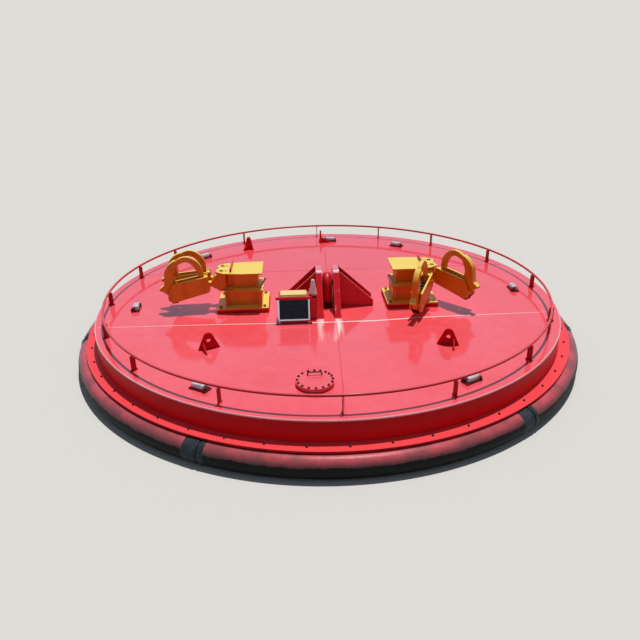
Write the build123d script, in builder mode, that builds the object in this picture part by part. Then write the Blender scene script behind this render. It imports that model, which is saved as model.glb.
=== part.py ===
from build123d import *
from math import cos, radians, sin
import os

# A round steel mooring buoy with a flat deck, a rubber fender round its side, two quick release
# hook pedestals, a central mooring bracket over its hawse pipe, and a solar powered lantern.
# Millimetres. The origin is the centre of the flat bottom, +Z is up and the solar panel faces -Y.

os.makedirs("parts", exist_ok=True)
standing = (Align.CENTER, Align.CENTER, Align.MIN)

# Clearances
weld_gap = 0.3
running_clearance = 0.05

# Hull
hull_radius = 3825
hull_depth = 1750
deck_thickness = 20
bilge_chamfer = 150

# Fender and the two flanges that hold it
fender_tube_radius = 160
fender_below_deck = 517
fender_joint_headings = [-171.9, -115.7, -52.5, -10.1, 46, 104, 146]
fender_joint_gap = 25
wrap_width_before_joint = 200
wrap_width_after_joint = 75
flange_thickness = 25
upper_flange_below_deck = 312
upper_flange_width = 173
lower_flange_below_deck = 694
lower_flange_width = 135

# Anodes on the underwater side
anode_length = 420
anode_width = 110
anode_thickness = 60
anode_round = 20
anode_count = 8
anode_height = 420

# Hawse pipe and the bracket that straddles it
bracket_y = -295
hawse_outer_radius = 230
hawse_wall = 20
cheek_gap = 184
cheek_thickness = 97
cheek_height = 628
cheek_foot_half_length = 636
cheek_top_half_length = 155
gusset_spacing = 290
gusset_thickness = 30
gusset_reach = 571
gusset_nose_height = 100
gusset_height = 625
bracket_pin_radius = 45
bracket_pin_end = 30
link_bar_radius = 74
link_half_width = 200
link_top = 564
link_length = 550
half_turn = 180

# Rail
rail_inset = 157
rail_height = 245
rail_pipe_radius = 19
post_headings = [
    2.2, 25.8, 48.7, 68.1, 90.1, 116.4, 143.5, 160, 181, 201.7, 221.4, 245.8, 269.8, 292.5, 316.1, 339.2
]
post_width = 74
post_thickness = 12
post_foot_width = 105
post_foot_height = 26

# Manhole
manhole_x = -314
manhole_inset = 865
manhole_neck_radius = 215
manhole_neck_wall = 12
manhole_neck_height = 28
manhole_flange_radius = 254
manhole_flange_thickness = 18
manhole_handle_offset = 115
manhole_handle_half_width = 95
manhole_handle_height = 45
manhole_handle_radius = 9
manhole_handle_bend = 36

# Lifting lugs: bearing on the deck, inset from its edge, heading of the plate, side of its gusset
lifting_lug_places = [
    (225.47, 1248, 20, -1),
    (309.82, 1241, -16, 1),
    (117.23, 547, -58, 1),
    (88.94, 569, 89, -1),
]
lug_half_width = 150
lug_height = 250
lug_crown_radius = 72
lug_foot_height = 25
lug_thickness = 36
lug_hole_radius = 33
lug_hole_height = 130
lug_gusset_offset = 84
lug_gusset_reach = 165
lug_gusset_height = 120
lug_gusset_nose = 35
lug_gusset_thickness = 20

# Deck lights: bearing on the deck and inset from its edge
deck_light_places = [
    (239, 349),
    (299.3, 336),
    (1.1, 520),
    (58.8, 596),
    (85.2, 539),
    (135.5, 489),
    (185, 608),
]
light_base_length = 270
light_base_width = 130
light_base_height = 18
light_lens_length = 242
light_lens_width = 100
light_lens_height = 72
light_lens_round = 20

# Solar unit
solar_x = -564
panel_width = 497
panel_height = 362
panel_frame_depth = 32
panel_frame_lip = 24
panel_recess = 4
panel_thickness = 14
panel_lean = 15
panel_front_y = -1090
panel_foot_height = 58
solar_stand_width = 436
solar_stand_back_y = -790
solar_stand_height = 378
solar_shelf_width = 478
solar_shelf_thickness = 30
solar_shelf_back_y = -740
battery_box_width = 415
battery_box_depth = 190
battery_box_height = 38
battery_box_back_gap = 30
battery_box_round = 10

# Lantern beside the bracket
lantern_x = -253
lantern_y = -850
lantern_base_height = 405
lantern_base_radius = 59
lantern_top_radius = 26
lantern_height = 244
lantern_top_round = 13
lantern_seat_radius = 64
lantern_seat_thickness = 12
lantern_arm_front_y = -615
lantern_arm_back_y = -500
lantern_rib_thickness = 12
lantern_rib_depth = 130

# Pedestals, given for the one on the +X side; the other is its mirror image
pedestal_x = 1400
pedestal_y = -245
pedestal_sides = {"right": 1, "left": -1}
foundation_length = 840
foundation_width = 715
foundation_height = 60
base_plate_thickness = 25
column_inner_x = 1085
column_outer_x = 1690
column_half_width = 215
column_height = 260
column_rib_inset = 30
column_rib_thickness = 20
column_rib_reach = 85
column_rib_top_reach = 60
clevis_plate_thickness = 25
top_plate_thickness = 20
clevis_gap = 270
plate_inner_x = 1056
plate_half_width = 300
shelf_shoulder_x = 1490
shelf_shoulder_end = (1575, 185)
top_shoulder_x = 1400
top_shoulder_end = (1688, 255)
top_ear_radius = 85
housing_inner_x = 1136
housing_outer_x = 1530
housing_half_width = 165
web_outer_x = 1608
web_half_width = 100
swivel_x = 1728
swivel_spacing = 240
swivel_pin_radius = 32
swivel_pin_stand = 8
swivel_pin_socket_radius = 17
swivel_pin_socket_depth = 14
trip_bar_x = 1572
trip_bar_thickness = 25
trip_bar_height = 60
trip_bar_front_y = -445
trip_bar_back_y = 0
lever_y = -405
lever_foot_x = 1112
lever_tip_x = 1011
lever_rise = 166
lever_width = 42
lever_thickness = 12

# Quick release hooks: name, pedestal side, end of the swivel pair, rest heading, rest pitch and the
# radius of the boss. The slim boss leaves room for the neighbouring hook that crosses in front of it.
hooks = [
    ("right_rear", 1, 1, -50, -5, 80),
    ("right_front", 1, -1, -118, -14, 51),
    ("left_front", -1, -1, 184, -8, 80),
    ("left_rear", -1, 1, 184, -2, 80),
]
shelf_ear_margin = 2
boss_clearance = 5
pitch_pin_reach = 253
pitch_pin_below_top = 183
pitch_pin_radius = 30
eye_radius = 48
arm_half_width = 50
arm_half_height = 32
arm_neck_reach = 172
arm_shoulder_reach = 105
arm_shoulder_rise = 140
frame_inner_half_width = 63
frame_plate_thickness = 30
frame_pin_head = 5
frame_pin_head_radius = 36
frame_heel_reach = 50
frame_heel_top = 140
frame_heel_bottom = 80
frame_toe_reach = 528
frame_toe_top = 116
frame_belly_reach = 20
frame_belly_depth = 128
horn_pin_reach = 560
horn_pin_drop = 105
horn_pin_radius = 30
frame_end_radius = 88
catch_inner_reach = 40
catch_outer_reach = 15
catch_bottom = 70
catch_top = 125
seat_inner_reach = 130
seat_outer_reach = 440
seat_top = 60
seat_thickness = 12
web_inner_reach = 60
web_outer_reach = 450
web_thickness = 18
web_lift = 12
horn_half_width = 44
bow_half_width = 29
horn_eye_radius = 64
# Horn outline, along and above the hook from its pitch pin
horn_tip = [(26, 62), (109, 62)]
bow_inner_points = [(109, 62), (101, 205), (128, 312), (175, 388), (240, 428), (325, 424), (404, 396)]
horn_inner_points = [(404, 396), (454, 330), (484, 250), (478, 150), (463, 60), (500, -60)]
bow_outer_points = [(26, 62), (11, 190), (20, 305), (62, 398), (132, 470), (218, 512), (312, 510), (400, 468)]
horn_outer_points = [(397, 488), (472, 464), (545, 414), (600, 347), (636, 231), (672, 110)]
horn_heel = [(672, 110), (752, 66), (762, 40), (706, 8), (622, -88)]

# Sizes worked out from the values above
rail_radius = hull_radius - rail_inset
manhole_y = manhole_inset - hull_radius
upper_flange_top = hull_depth - upper_flange_below_deck
lower_flange_top = hull_depth - lower_flange_below_deck
fender_height = hull_depth - fender_below_deck
fender_centre_radius = hull_radius + weld_gap + fender_tube_radius
base_plate_bottom = hull_depth + foundation_height
column_bottom = base_plate_bottom + base_plate_thickness
clevis_bottom = column_bottom + column_height
clevis_floor = clevis_bottom + clevis_plate_thickness
clevis_ceiling = clevis_floor + clevis_gap
pedestal_top = clevis_ceiling + top_plate_thickness
pitch_pin_height = clevis_ceiling - pitch_pin_below_top


def upright_plane(heading, origin=(0, 0, 0), pitch=0):
    """Plane whose x runs out along a heading, tipped up by pitch, with y upwards."""
    h = radians(heading)
    p = radians(pitch)
    return Plane(origin=origin, x_dir=(cos(p) * cos(h), cos(p) * sin(h), sin(p)), z_dir=(sin(h), -cos(h), 0))


def deck_place(bearing, inset, height=0):
    """Point on the deck at a bearing, inset from its edge."""
    reach = hull_radius - inset
    return (reach * cos(radians(bearing)), reach * sin(radians(bearing)), height)


def save(part, name):
    """Labels a finished piece and writes it to its own file."""
    part.label = name
    export_step(part, f"parts/{name}.step")


# Hull: one closed shell below a deck plate
with BuildPart() as hull_shell:
    with BuildSketch():
        Circle(hull_radius)
    extrude(amount=hull_depth - deck_thickness)
    chamfer(hull_shell.edges().group_by(Axis.Z)[0], bilge_chamfer)
    with BuildSketch():
        with Locations((0, bracket_y)):
            Circle(hawse_outer_radius + weld_gap)
    extrude(amount=hull_depth, mode=Mode.SUBTRACT)
save(hull_shell.part, "hull_shell")

with BuildPart() as deck_plate:
    with BuildSketch(Plane.XY.offset(hull_depth - deck_thickness)):
        Circle(hull_radius)
        with Locations((0, bracket_y)):
            Circle(hawse_outer_radius + weld_gap, mode=Mode.SUBTRACT)
    extrude(amount=deck_thickness)
save(deck_plate.part, "deck_plate")

with BuildPart() as hawse_pipe:
    with BuildSketch():
        with Locations((0, bracket_y)):
            Circle(hawse_outer_radius)
            Circle(hawse_outer_radius - hawse_wall, mode=Mode.SUBTRACT)
    extrude(amount=hull_depth)
save(hawse_pipe.part, "hawse_pipe")


def side_flange(top, width):
    """A flat ring round the side of the hull, with its top at the given height."""
    with BuildPart() as flange:
        with BuildSketch(Plane.XY.offset(top - flange_thickness)):
            Circle(hull_radius + width)
            Circle(hull_radius + weld_gap, mode=Mode.SUBTRACT)
        extrude(amount=flange_thickness)
    return flange.part


save(side_flange(upper_flange_top, upper_flange_width), "upper_flange")
save(side_flange(lower_flange_top, lower_flange_width), "lower_flange")


def arc_degrees(length):
    """Angle that a length takes along the fender's centre line."""
    return length / radians(fender_centre_radius)


def fender_section(heading):
    """Round section of the fender tube at a heading."""
    with BuildSketch(upright_plane(heading)) as section:
        with Locations((fender_centre_radius, fender_height)):
            Circle(fender_tube_radius)
    return section.sketch


half_gap = arc_degrees(fender_joint_gap / 2)
wrap_before = arc_degrees(wrap_width_before_joint)
wrap_after = arc_degrees(wrap_width_after_joint)

with BuildPart() as fender_segments:
    next_headings = fender_joint_headings[1:] + [fender_joint_headings[0] + 360]
    for heading, next_heading in zip(fender_joint_headings, next_headings):
        segment_start = heading + half_gap + wrap_after
        segment_end = next_heading - half_gap - wrap_before
        revolve(fender_section(segment_start), axis=Axis.Z, revolution_arc=segment_end - segment_start)
save(fender_segments.part, "fender_segments")

with BuildPart() as fender_end_wraps:
    for heading in fender_joint_headings:
        revolve(fender_section(heading - half_gap - wrap_before), axis=Axis.Z, revolution_arc=wrap_before)
        revolve(fender_section(heading + half_gap), axis=Axis.Z, revolution_arc=wrap_after)
save(fender_end_wraps.part, "fender_end_wraps")

with BuildPart(Plane.XY.offset(anode_height)) as hull_anodes:
    with PolarLocations(hull_radius + weld_gap, anode_count, start_angle=half_turn / anode_count):
        Box(anode_thickness, anode_length, anode_width, align=(Align.MIN, Align.CENTER, Align.CENTER))
    fillet(hull_anodes.edges().filter_by(GeomType.LINE).filter_by(Axis.Z), anode_round)
    with BuildSketch(Plane.XY):
        Circle(hull_radius + weld_gap)
    extrude(amount=anode_height + anode_width, mode=Mode.SUBTRACT)
save(hull_anodes.part, "hull_anodes")

# Rail: a pipe ring on flat posts that widen at the foot
with BuildPart() as rail_ring:
    with BuildSketch(Plane.XZ):
        with Locations((rail_radius, hull_depth + rail_height)):
            Circle(rail_pipe_radius)
    revolve(axis=Axis.Z)
save(rail_ring.part, "rail_ring")

post_height = rail_height - rail_pipe_radius - weld_gap
with BuildPart(Plane.XY.offset(hull_depth)) as rail_posts:
    for heading in post_headings:
        with PolarLocations(rail_radius, 1, start_angle=heading):
            Box(post_width, post_thickness, post_height, align=standing)
            Box(post_foot_width, post_thickness, post_foot_height, align=standing)
save(rail_posts.part, "rail_posts")

# Manhole: a short flanged neck, a bolted cover and its handle
with BuildPart() as manhole_neck:
    with BuildSketch(Plane.XY.offset(hull_depth)):
        with Locations((manhole_x, manhole_y)):
            Circle(manhole_neck_radius)
            Circle(manhole_neck_radius - manhole_neck_wall, mode=Mode.SUBTRACT)
    extrude(amount=manhole_neck_height)
    with BuildSketch(Plane.XY.offset(hull_depth + manhole_neck_height)):
        with Locations((manhole_x, manhole_y)):
            Circle(manhole_flange_radius)
            Circle(manhole_neck_radius - manhole_neck_wall, mode=Mode.SUBTRACT)
    extrude(amount=manhole_flange_thickness)
save(manhole_neck.part, "manhole_neck")

manhole_cover_bottom = hull_depth + manhole_neck_height + manhole_flange_thickness
with BuildPart() as manhole_cover:
    with BuildSketch(Plane.XY.offset(manhole_cover_bottom)):
        with Locations((manhole_x, manhole_y)):
            Circle(manhole_flange_radius)
    extrude(amount=manhole_flange_thickness)
save(manhole_cover.part, "manhole_cover")

manhole_cover_top = manhole_cover_bottom + manhole_flange_thickness
handle_plane = upright_plane(0, (manhole_x, manhole_y + manhole_handle_offset, manhole_cover_top))
with BuildPart() as manhole_handle:
    with BuildLine(handle_plane) as handle_arch:
        FilletPolyline(
            (-manhole_handle_half_width, 0),
            (-manhole_handle_half_width, manhole_handle_height),
            (manhole_handle_half_width, manhole_handle_height),
            (manhole_handle_half_width, 0),
            radius=manhole_handle_bend,
        )
    with BuildSketch(Plane(origin=handle_arch.line @ 0, z_dir=handle_arch.line % 0)):
        Circle(manhole_handle_radius)
    sweep()
save(manhole_handle.part, "manhole_handle")

# Mooring bracket: two thick cheeks over the hawse pipe, braced sideways, with a pin and a link
cheek_outer_x = cheek_gap / 2 + cheek_thickness
link_arc_radius = link_half_width - link_bar_radius
link_arc_top = hull_depth + link_top - link_half_width
bracket_pin_height = hull_depth + link_top - 2 * link_bar_radius - bracket_pin_radius - weld_gap


def bracket_cheek(inner_x):
    """One cheek, as a sloping plate on its side, from inner_x towards +X."""
    with BuildPart() as cheek:
        with BuildSketch(Plane.YZ.offset(inner_x)):
            Polygon(
                (bracket_y - cheek_foot_half_length, hull_depth),
                (bracket_y + cheek_foot_half_length, hull_depth),
                (bracket_y + cheek_top_half_length, hull_depth + cheek_height),
                (bracket_y - cheek_top_half_length, hull_depth + cheek_height),
                align=None,
            )
            with Locations((bracket_y, bracket_pin_height)):
                Circle(bracket_pin_radius + weld_gap, mode=Mode.SUBTRACT)
        extrude(amount=cheek_thickness)
    return cheek.part


save(bracket_cheek(cheek_gap / 2), "bracket_cheek_right")
save(bracket_cheek(-cheek_outer_x), "bracket_cheek_left")

with BuildPart() as bracket_gussets:
    for side in (-1, 1):
        for end in (-1, 1):
            gusset_plane = Plane.XZ.offset(-(bracket_y + end * gusset_spacing / 2))
            with BuildSketch(gusset_plane):
                Polygon(
                    (side * cheek_outer_x, hull_depth),
                    (side * (cheek_outer_x + gusset_reach), hull_depth),
                    (side * (cheek_outer_x + gusset_reach), hull_depth + gusset_nose_height),
                    (side * cheek_outer_x, hull_depth + gusset_height),
                    align=None,
                )
            extrude(amount=gusset_thickness / 2, both=True)
save(bracket_gussets.part, "bracket_gussets")

with BuildPart() as bracket_pin:
    with BuildSketch(Plane.YZ.offset(-cheek_outer_x - bracket_pin_end)):
        with Locations((bracket_y, bracket_pin_height)):
            Circle(bracket_pin_radius)
    extrude(amount=2 * (cheek_outer_x + bracket_pin_end))
save(bracket_pin.part, "bracket_pin")

link_straight = link_length - 2 * link_half_width
with BuildPart() as mooring_link:
    with BuildLine(Plane.YZ) as link_path:
        front_leg = Line(
            (bracket_y - link_arc_radius, link_arc_top - link_straight),
            (bracket_y - link_arc_radius, link_arc_top),
        )
        crown = JernArc(front_leg @ 1, front_leg % 1, radius=link_arc_radius, arc_size=-half_turn)
        back_leg = Line(crown @ 1, crown @ 1 - (0, link_straight))
        JernArc(back_leg @ 1, back_leg % 1, radius=link_arc_radius, arc_size=-half_turn)
    with BuildSketch(Plane(origin=link_path.line @ 0, z_dir=link_path.line % 0)):
        Circle(link_bar_radius)
    sweep()
save(mooring_link.part, "mooring_link")

# Lifting lugs: an eye plate with one gusset
with BuildPart() as lifting_lugs:
    for bearing, inset, heading, gusset_side in lifting_lug_places:
        lug_plane = upright_plane(heading, deck_place(bearing, inset, hull_depth))
        with BuildSketch(lug_plane):
            with Locations((0, lug_foot_height / 2)):
                Rectangle(2 * lug_half_width, lug_foot_height)
            with Locations((0, lug_height - lug_crown_radius)):
                Circle(lug_crown_radius)
            make_hull()
            with Locations((0, lug_hole_height)):
                Circle(lug_hole_radius, mode=Mode.SUBTRACT)
        extrude(amount=lug_thickness / 2, both=True)
        gusset_at = lug_plane.from_local_coords((gusset_side * lug_gusset_offset, 0, lug_thickness / 2))
        with BuildSketch(upright_plane(heading - 90, gusset_at)):
            Polygon(
                (0, 0),
                (lug_gusset_reach, 0),
                (lug_gusset_reach, lug_gusset_nose),
                (0, lug_gusset_height),
                align=None,
            )
        extrude(amount=lug_gusset_thickness / 2, both=True)
save(lifting_lugs.part, "lifting_lugs")

# Deck lights round the edge, each facing outwards
light_locations = [
    Location(deck_place(bearing, inset), (0, 0, bearing)) for bearing, inset in deck_light_places
]

with BuildPart(Plane.XY.offset(hull_depth)) as deck_light_bases:
    with Locations(*light_locations):
        Box(light_base_width, light_base_length, light_base_height, align=standing)
save(deck_light_bases.part, "deck_light_bases")

with BuildPart(Plane.XY.offset(hull_depth + light_base_height)) as deck_light_lenses:
    with Locations(*light_locations):
        Box(light_lens_width, light_lens_length, light_lens_height, align=standing)
    fillet(deck_light_lenses.edges().group_by(Axis.Z)[-1], light_lens_round)
save(deck_light_lenses.part, "deck_light_lenses")

# Solar unit: a leaning framed panel on the front of a stand, with a battery box on its shelf
panel_plane = Plane(
    origin=(solar_x, panel_front_y, hull_depth + panel_foot_height),
    x_dir=(1, 0, 0),
    z_dir=(0, -cos(radians(panel_lean)), sin(radians(panel_lean))),
)
panel_back_foot = panel_plane.from_local_coords((0, 0, -panel_frame_depth))
panel_back_head = panel_plane.from_local_coords((0, panel_height, -panel_frame_depth))
lean_run = (panel_back_head.Y - panel_back_foot.Y) / (panel_back_head.Z - panel_back_foot.Z)


def panel_back_y(height):
    """How far back the rear face of the leaning panel is at a height."""
    return panel_back_foot.Y + (height - panel_back_foot.Z) * lean_run


with BuildPart() as solar_frame:
    with BuildSketch(panel_plane):
        Rectangle(panel_width, panel_height, align=(Align.CENTER, Align.MIN))
        with Locations((0, panel_frame_lip)):
            Rectangle(
                panel_width - 2 * panel_frame_lip,
                panel_height - 2 * panel_frame_lip,
                align=(Align.CENTER, Align.MIN),
                mode=Mode.SUBTRACT,
            )
    extrude(amount=-panel_frame_depth)
save(solar_frame.part, "solar_frame")

with BuildPart() as solar_panel:
    with BuildSketch(panel_plane.offset(-panel_recess)):
        with Locations((0, panel_frame_lip)):
            Rectangle(
                panel_width - 2 * panel_frame_lip,
                panel_height - 2 * panel_frame_lip,
                align=(Align.CENTER, Align.MIN),
            )
    extrude(amount=-panel_thickness)
save(solar_panel.part, "solar_panel")

shelf_bottom = hull_depth + solar_stand_height
shelf_top = shelf_bottom + solar_shelf_thickness
with BuildPart() as solar_stand:
    with BuildSketch(Plane.YZ.offset(solar_x - solar_stand_width / 2)):
        Polygon(
            (panel_back_y(hull_depth), hull_depth),
            (solar_stand_back_y, hull_depth),
            (solar_stand_back_y, shelf_bottom),
            (panel_back_y(shelf_bottom), shelf_bottom),
            align=None,
        )
    extrude(amount=solar_stand_width)
    with BuildSketch(Plane.YZ.offset(solar_x - solar_shelf_width / 2)):
        Polygon(
            (panel_back_y(shelf_bottom), shelf_bottom),
            (solar_shelf_back_y, shelf_bottom),
            (solar_shelf_back_y, shelf_top),
            (panel_back_y(shelf_top), shelf_top),
            align=None,
        )
    extrude(amount=solar_shelf_width)
save(solar_stand.part, "solar_stand")

battery_box_y = solar_shelf_back_y - battery_box_back_gap - battery_box_depth / 2
with BuildPart(Plane.XY.offset(shelf_top)) as battery_box:
    with Locations((solar_x, battery_box_y)):
        Box(battery_box_width, battery_box_depth, battery_box_height, align=standing)
    fillet(battery_box.edges().filter_by(Axis.Z), battery_box_round)
    fillet(battery_box.edges().group_by(Axis.Z)[-1], battery_box_round)
save(battery_box.part, "battery_box")

# Lantern on an arm from the left cheek
lantern_seat_bottom = hull_depth + lantern_base_height - lantern_seat_thickness
with BuildPart() as lantern_bracket:
    with BuildSketch(Plane.XY.offset(lantern_seat_bottom)):
        with Locations((lantern_x, lantern_y)):
            Circle(lantern_seat_radius)
        Polygon(
            (-cheek_outer_x, lantern_arm_back_y),
            (-cheek_outer_x, lantern_arm_front_y),
            (lantern_x + lantern_base_radius, lantern_y),
            (lantern_x - lantern_base_radius, lantern_y),
            (lantern_x - lantern_base_radius, lantern_arm_front_y),
            align=None,
        )
    extrude(amount=lantern_seat_thickness)
    with BuildSketch(Plane.YZ.offset(-cheek_outer_x)):
        Polygon(
            (lantern_arm_back_y, lantern_seat_bottom),
            (lantern_arm_front_y, lantern_seat_bottom),
            (lantern_arm_back_y, lantern_seat_bottom - lantern_rib_depth),
            align=None,
        )
    extrude(amount=-lantern_rib_thickness)
save(lantern_bracket.part, "lantern_bracket")

with BuildPart() as lantern_lens:
    with Locations((lantern_x, lantern_y, hull_depth + lantern_base_height)):
        Cone(lantern_base_radius, lantern_top_radius, lantern_height, align=standing)
    fillet(lantern_lens.edges().group_by(Axis.Z)[-1], lantern_top_round)
save(lantern_lens.part, "lantern_lens")


# Pedestals
def swivel_places(side):
    """Plan positions of a pedestal's two swivel pins."""
    return [(side * swivel_x, pedestal_y + end * swivel_spacing / 2) for end in (-1, 1)]


def ear_corner(side, end, ear_radius):
    """Point on an ear's rim, half way between outwards and along the pedestal."""
    corner = ear_radius * sin(radians(45))
    return (side * (swivel_x + corner), pedestal_y + end * (swivel_spacing / 2 + corner))


def clevis_plate(side, bottom, thickness, shoulder_x, shoulder_end, ear_radii):
    """A deep plate with sloping shoulders and two round ears at the swivel pins."""
    end_x, end_half_width = shoulder_end
    front_ear, rear_ear = ear_radii
    with BuildPart() as plate:
        with BuildSketch(Plane.XY.offset(bottom)):
            Polygon(
                (side * plate_inner_x, pedestal_y - plate_half_width),
                (side * shoulder_x, pedestal_y - plate_half_width),
                (side * end_x, pedestal_y - end_half_width),
                (side * end_x, pedestal_y + end_half_width),
                (side * shoulder_x, pedestal_y + plate_half_width),
                (side * plate_inner_x, pedestal_y + plate_half_width),
                align=None,
            )
            Polygon(
                (side * end_x, pedestal_y - end_half_width),
                ear_corner(side, -1, front_ear),
                ear_corner(side, 1, rear_ear),
                (side * end_x, pedestal_y + end_half_width),
                align=None,
            )
            for place, ear_radius in zip(swivel_places(side), ear_radii):
                with Locations(place):
                    Circle(ear_radius)
                    Circle(swivel_pin_radius + weld_gap, mode=Mode.SUBTRACT)
        extrude(amount=thickness)
    return plate.part


def shelf_ears(side):
    """Radii of a shelf plate's front and rear ears, each a little wider than the boss it carries."""
    bosses = {end: boss for _, hook_side, end, _, _, boss in hooks if hook_side == side}
    return (bosses[-1] + shelf_ear_margin, bosses[1] + shelf_ear_margin)


def footprint(side, inner_x, outer_x, half_width, bottom):
    """Rectangular footprint of one block of a pedestal, at the height of its bottom."""
    with BuildSketch(Plane.XY.offset(bottom)) as outline:
        with Locations((side * (inner_x + outer_x) / 2, pedestal_y)):
            Rectangle(outer_x - inner_x, 2 * half_width)
    return outline.sketch


foundation_inner_x = pedestal_x - foundation_length / 2
foundation_outer_x = pedestal_x + foundation_length / 2

base_half_width = foundation_width / 2

for side_name, side in pedestal_sides.items():
    with BuildPart() as foundation:
        extrude(
            footprint(side, foundation_inner_x, foundation_outer_x, base_half_width, hull_depth),
            amount=foundation_height,
        )
    save(foundation.part, f"{side_name}_foundation")

    with BuildPart() as base_plate:
        extrude(
            footprint(side, foundation_inner_x, foundation_outer_x, base_half_width, base_plate_bottom),
            amount=base_plate_thickness,
        )
    save(base_plate.part, f"{side_name}_base_plate")

    with BuildPart() as column:
        extrude(
            footprint(side, column_inner_x, column_outer_x, column_half_width, column_bottom),
            amount=column_height,
        )
        for rib_x in (column_inner_x + column_rib_inset, column_outer_x - column_rib_inset):
            with BuildSketch(Plane.YZ.offset(side * rib_x)):
                Polygon(
                    (pedestal_y - column_half_width - column_rib_reach, column_bottom),
                    (pedestal_y + column_half_width + column_rib_reach, column_bottom),
                    (pedestal_y + column_half_width + column_rib_top_reach, column_bottom + column_height),
                    (pedestal_y - column_half_width - column_rib_top_reach, column_bottom + column_height),
                    align=None,
                )
            extrude(amount=column_rib_thickness / 2, both=True)
    save(column.part, f"{side_name}_column")

    shelf_plate = clevis_plate(
        side, clevis_bottom, clevis_plate_thickness, shelf_shoulder_x, shelf_shoulder_end, shelf_ears(side)
    )
    save(shelf_plate, f"{side_name}_shelf_plate")
    top_ears = (top_ear_radius, top_ear_radius)
    top_plate = clevis_plate(side, clevis_ceiling, top_plate_thickness, top_shoulder_x, top_shoulder_end, top_ears)
    save(top_plate, f"{side_name}_top_plate")

    with BuildPart() as housing:
        extrude(
            footprint(side, housing_inner_x, housing_outer_x, housing_half_width, clevis_floor),
            amount=clevis_gap,
        )
        extrude(
            footprint(side, housing_outer_x, web_outer_x, web_half_width, clevis_floor),
            amount=clevis_gap,
        )
    save(housing.part, f"{side_name}_housing")

    with BuildPart() as swivel_pins:
        with BuildSketch(Plane.XY.offset(clevis_bottom - swivel_pin_stand)):
            with Locations(*swivel_places(side)):
                Circle(swivel_pin_radius)
        extrude(amount=pedestal_top - clevis_bottom + 2 * swivel_pin_stand)
        with BuildSketch(Plane.XY.offset(pedestal_top + swivel_pin_stand)):
            with Locations(*swivel_places(side)):
                Circle(swivel_pin_socket_radius)
        extrude(amount=-swivel_pin_socket_depth, mode=Mode.SUBTRACT)
    save(swivel_pins.part, f"{side_name}_swivel_pins")

    with BuildPart() as trip_bar:
        with BuildSketch(Plane.XY.offset(pedestal_top)):
            with Locations((side * trip_bar_x, (trip_bar_front_y + trip_bar_back_y) / 2)):
                Rectangle(trip_bar_thickness, trip_bar_back_y - trip_bar_front_y)
        extrude(amount=trip_bar_height)
    save(trip_bar.part, f"{side_name}_trip_bar")

    with BuildPart() as hand_lever:
        with BuildSketch(Plane.XZ.offset(-lever_y)):
            Polygon(
                (side * (lever_foot_x - lever_width / 2), clevis_floor),
                (side * (lever_foot_x + lever_width / 2), clevis_floor),
                (side * (lever_tip_x + lever_width / 2), clevis_floor + lever_rise),
                (side * (lever_tip_x - lever_width / 2), clevis_floor + lever_rise),
                align=None,
            )
        extrude(amount=lever_thickness / 2, both=True)
    save(hand_lever.part, f"{side_name}_hand_lever")


# Hooks
def swivel_point(side, end, height):
    """Point on a hook's swivel axis at a height."""
    return (side * swivel_x, pedestal_y + end * swivel_spacing / 2, height)


def hook_plane(side, end, heading, pitch):
    """Plane of a hook's side plates, with its origin on the pitch pin."""
    x, y, z = swivel_point(side, end, pitch_pin_height)
    reach_x = pitch_pin_reach * cos(radians(heading))
    reach_y = pitch_pin_reach * sin(radians(heading))
    return upright_plane(heading, (x + reach_x, y + reach_y, z), pitch)


def make_knuckle(side, end, heading, boss_radius):
    """The swivel boss with its arm out to the pitch pin."""
    boss_bottom = clevis_floor + boss_clearance
    boss_height = clevis_gap - 2 * boss_clearance
    arm_bottom = boss_bottom - pitch_pin_height
    with BuildPart() as knuckle:
        with BuildSketch(Plane.XY.offset(boss_bottom)):
            with Locations(swivel_point(side, end, 0)):
                Circle(boss_radius)
        extrude(amount=boss_height)
        with BuildSketch(upright_plane(heading, swivel_point(side, end, pitch_pin_height))):
            Polygon(
                (0, arm_bottom),
                (arm_shoulder_reach, arm_bottom),
                (arm_neck_reach, -arm_half_height),
                (pitch_pin_reach, -arm_half_height),
                (pitch_pin_reach, arm_half_height),
                (arm_neck_reach, arm_half_height),
                (arm_shoulder_reach, arm_shoulder_rise),
                (0, arm_shoulder_rise),
                align=None,
            )
            with Locations((pitch_pin_reach, 0)):
                Circle(eye_radius)
                Circle(pitch_pin_radius + running_clearance, mode=Mode.SUBTRACT)
        extrude(amount=arm_half_width, both=True)
        with BuildSketch(Plane.XY.offset(boss_bottom)):
            with Locations(swivel_point(side, end, 0)):
                Circle(swivel_pin_radius + running_clearance)
        extrude(amount=boss_height, mode=Mode.SUBTRACT)
    return knuckle.part


def pin_section(plane, place, radius):
    """Round section of a pin across a hook."""
    with BuildSketch(plane) as section:
        with Locations(place):
            Circle(radius)
    return section.sketch


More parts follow.
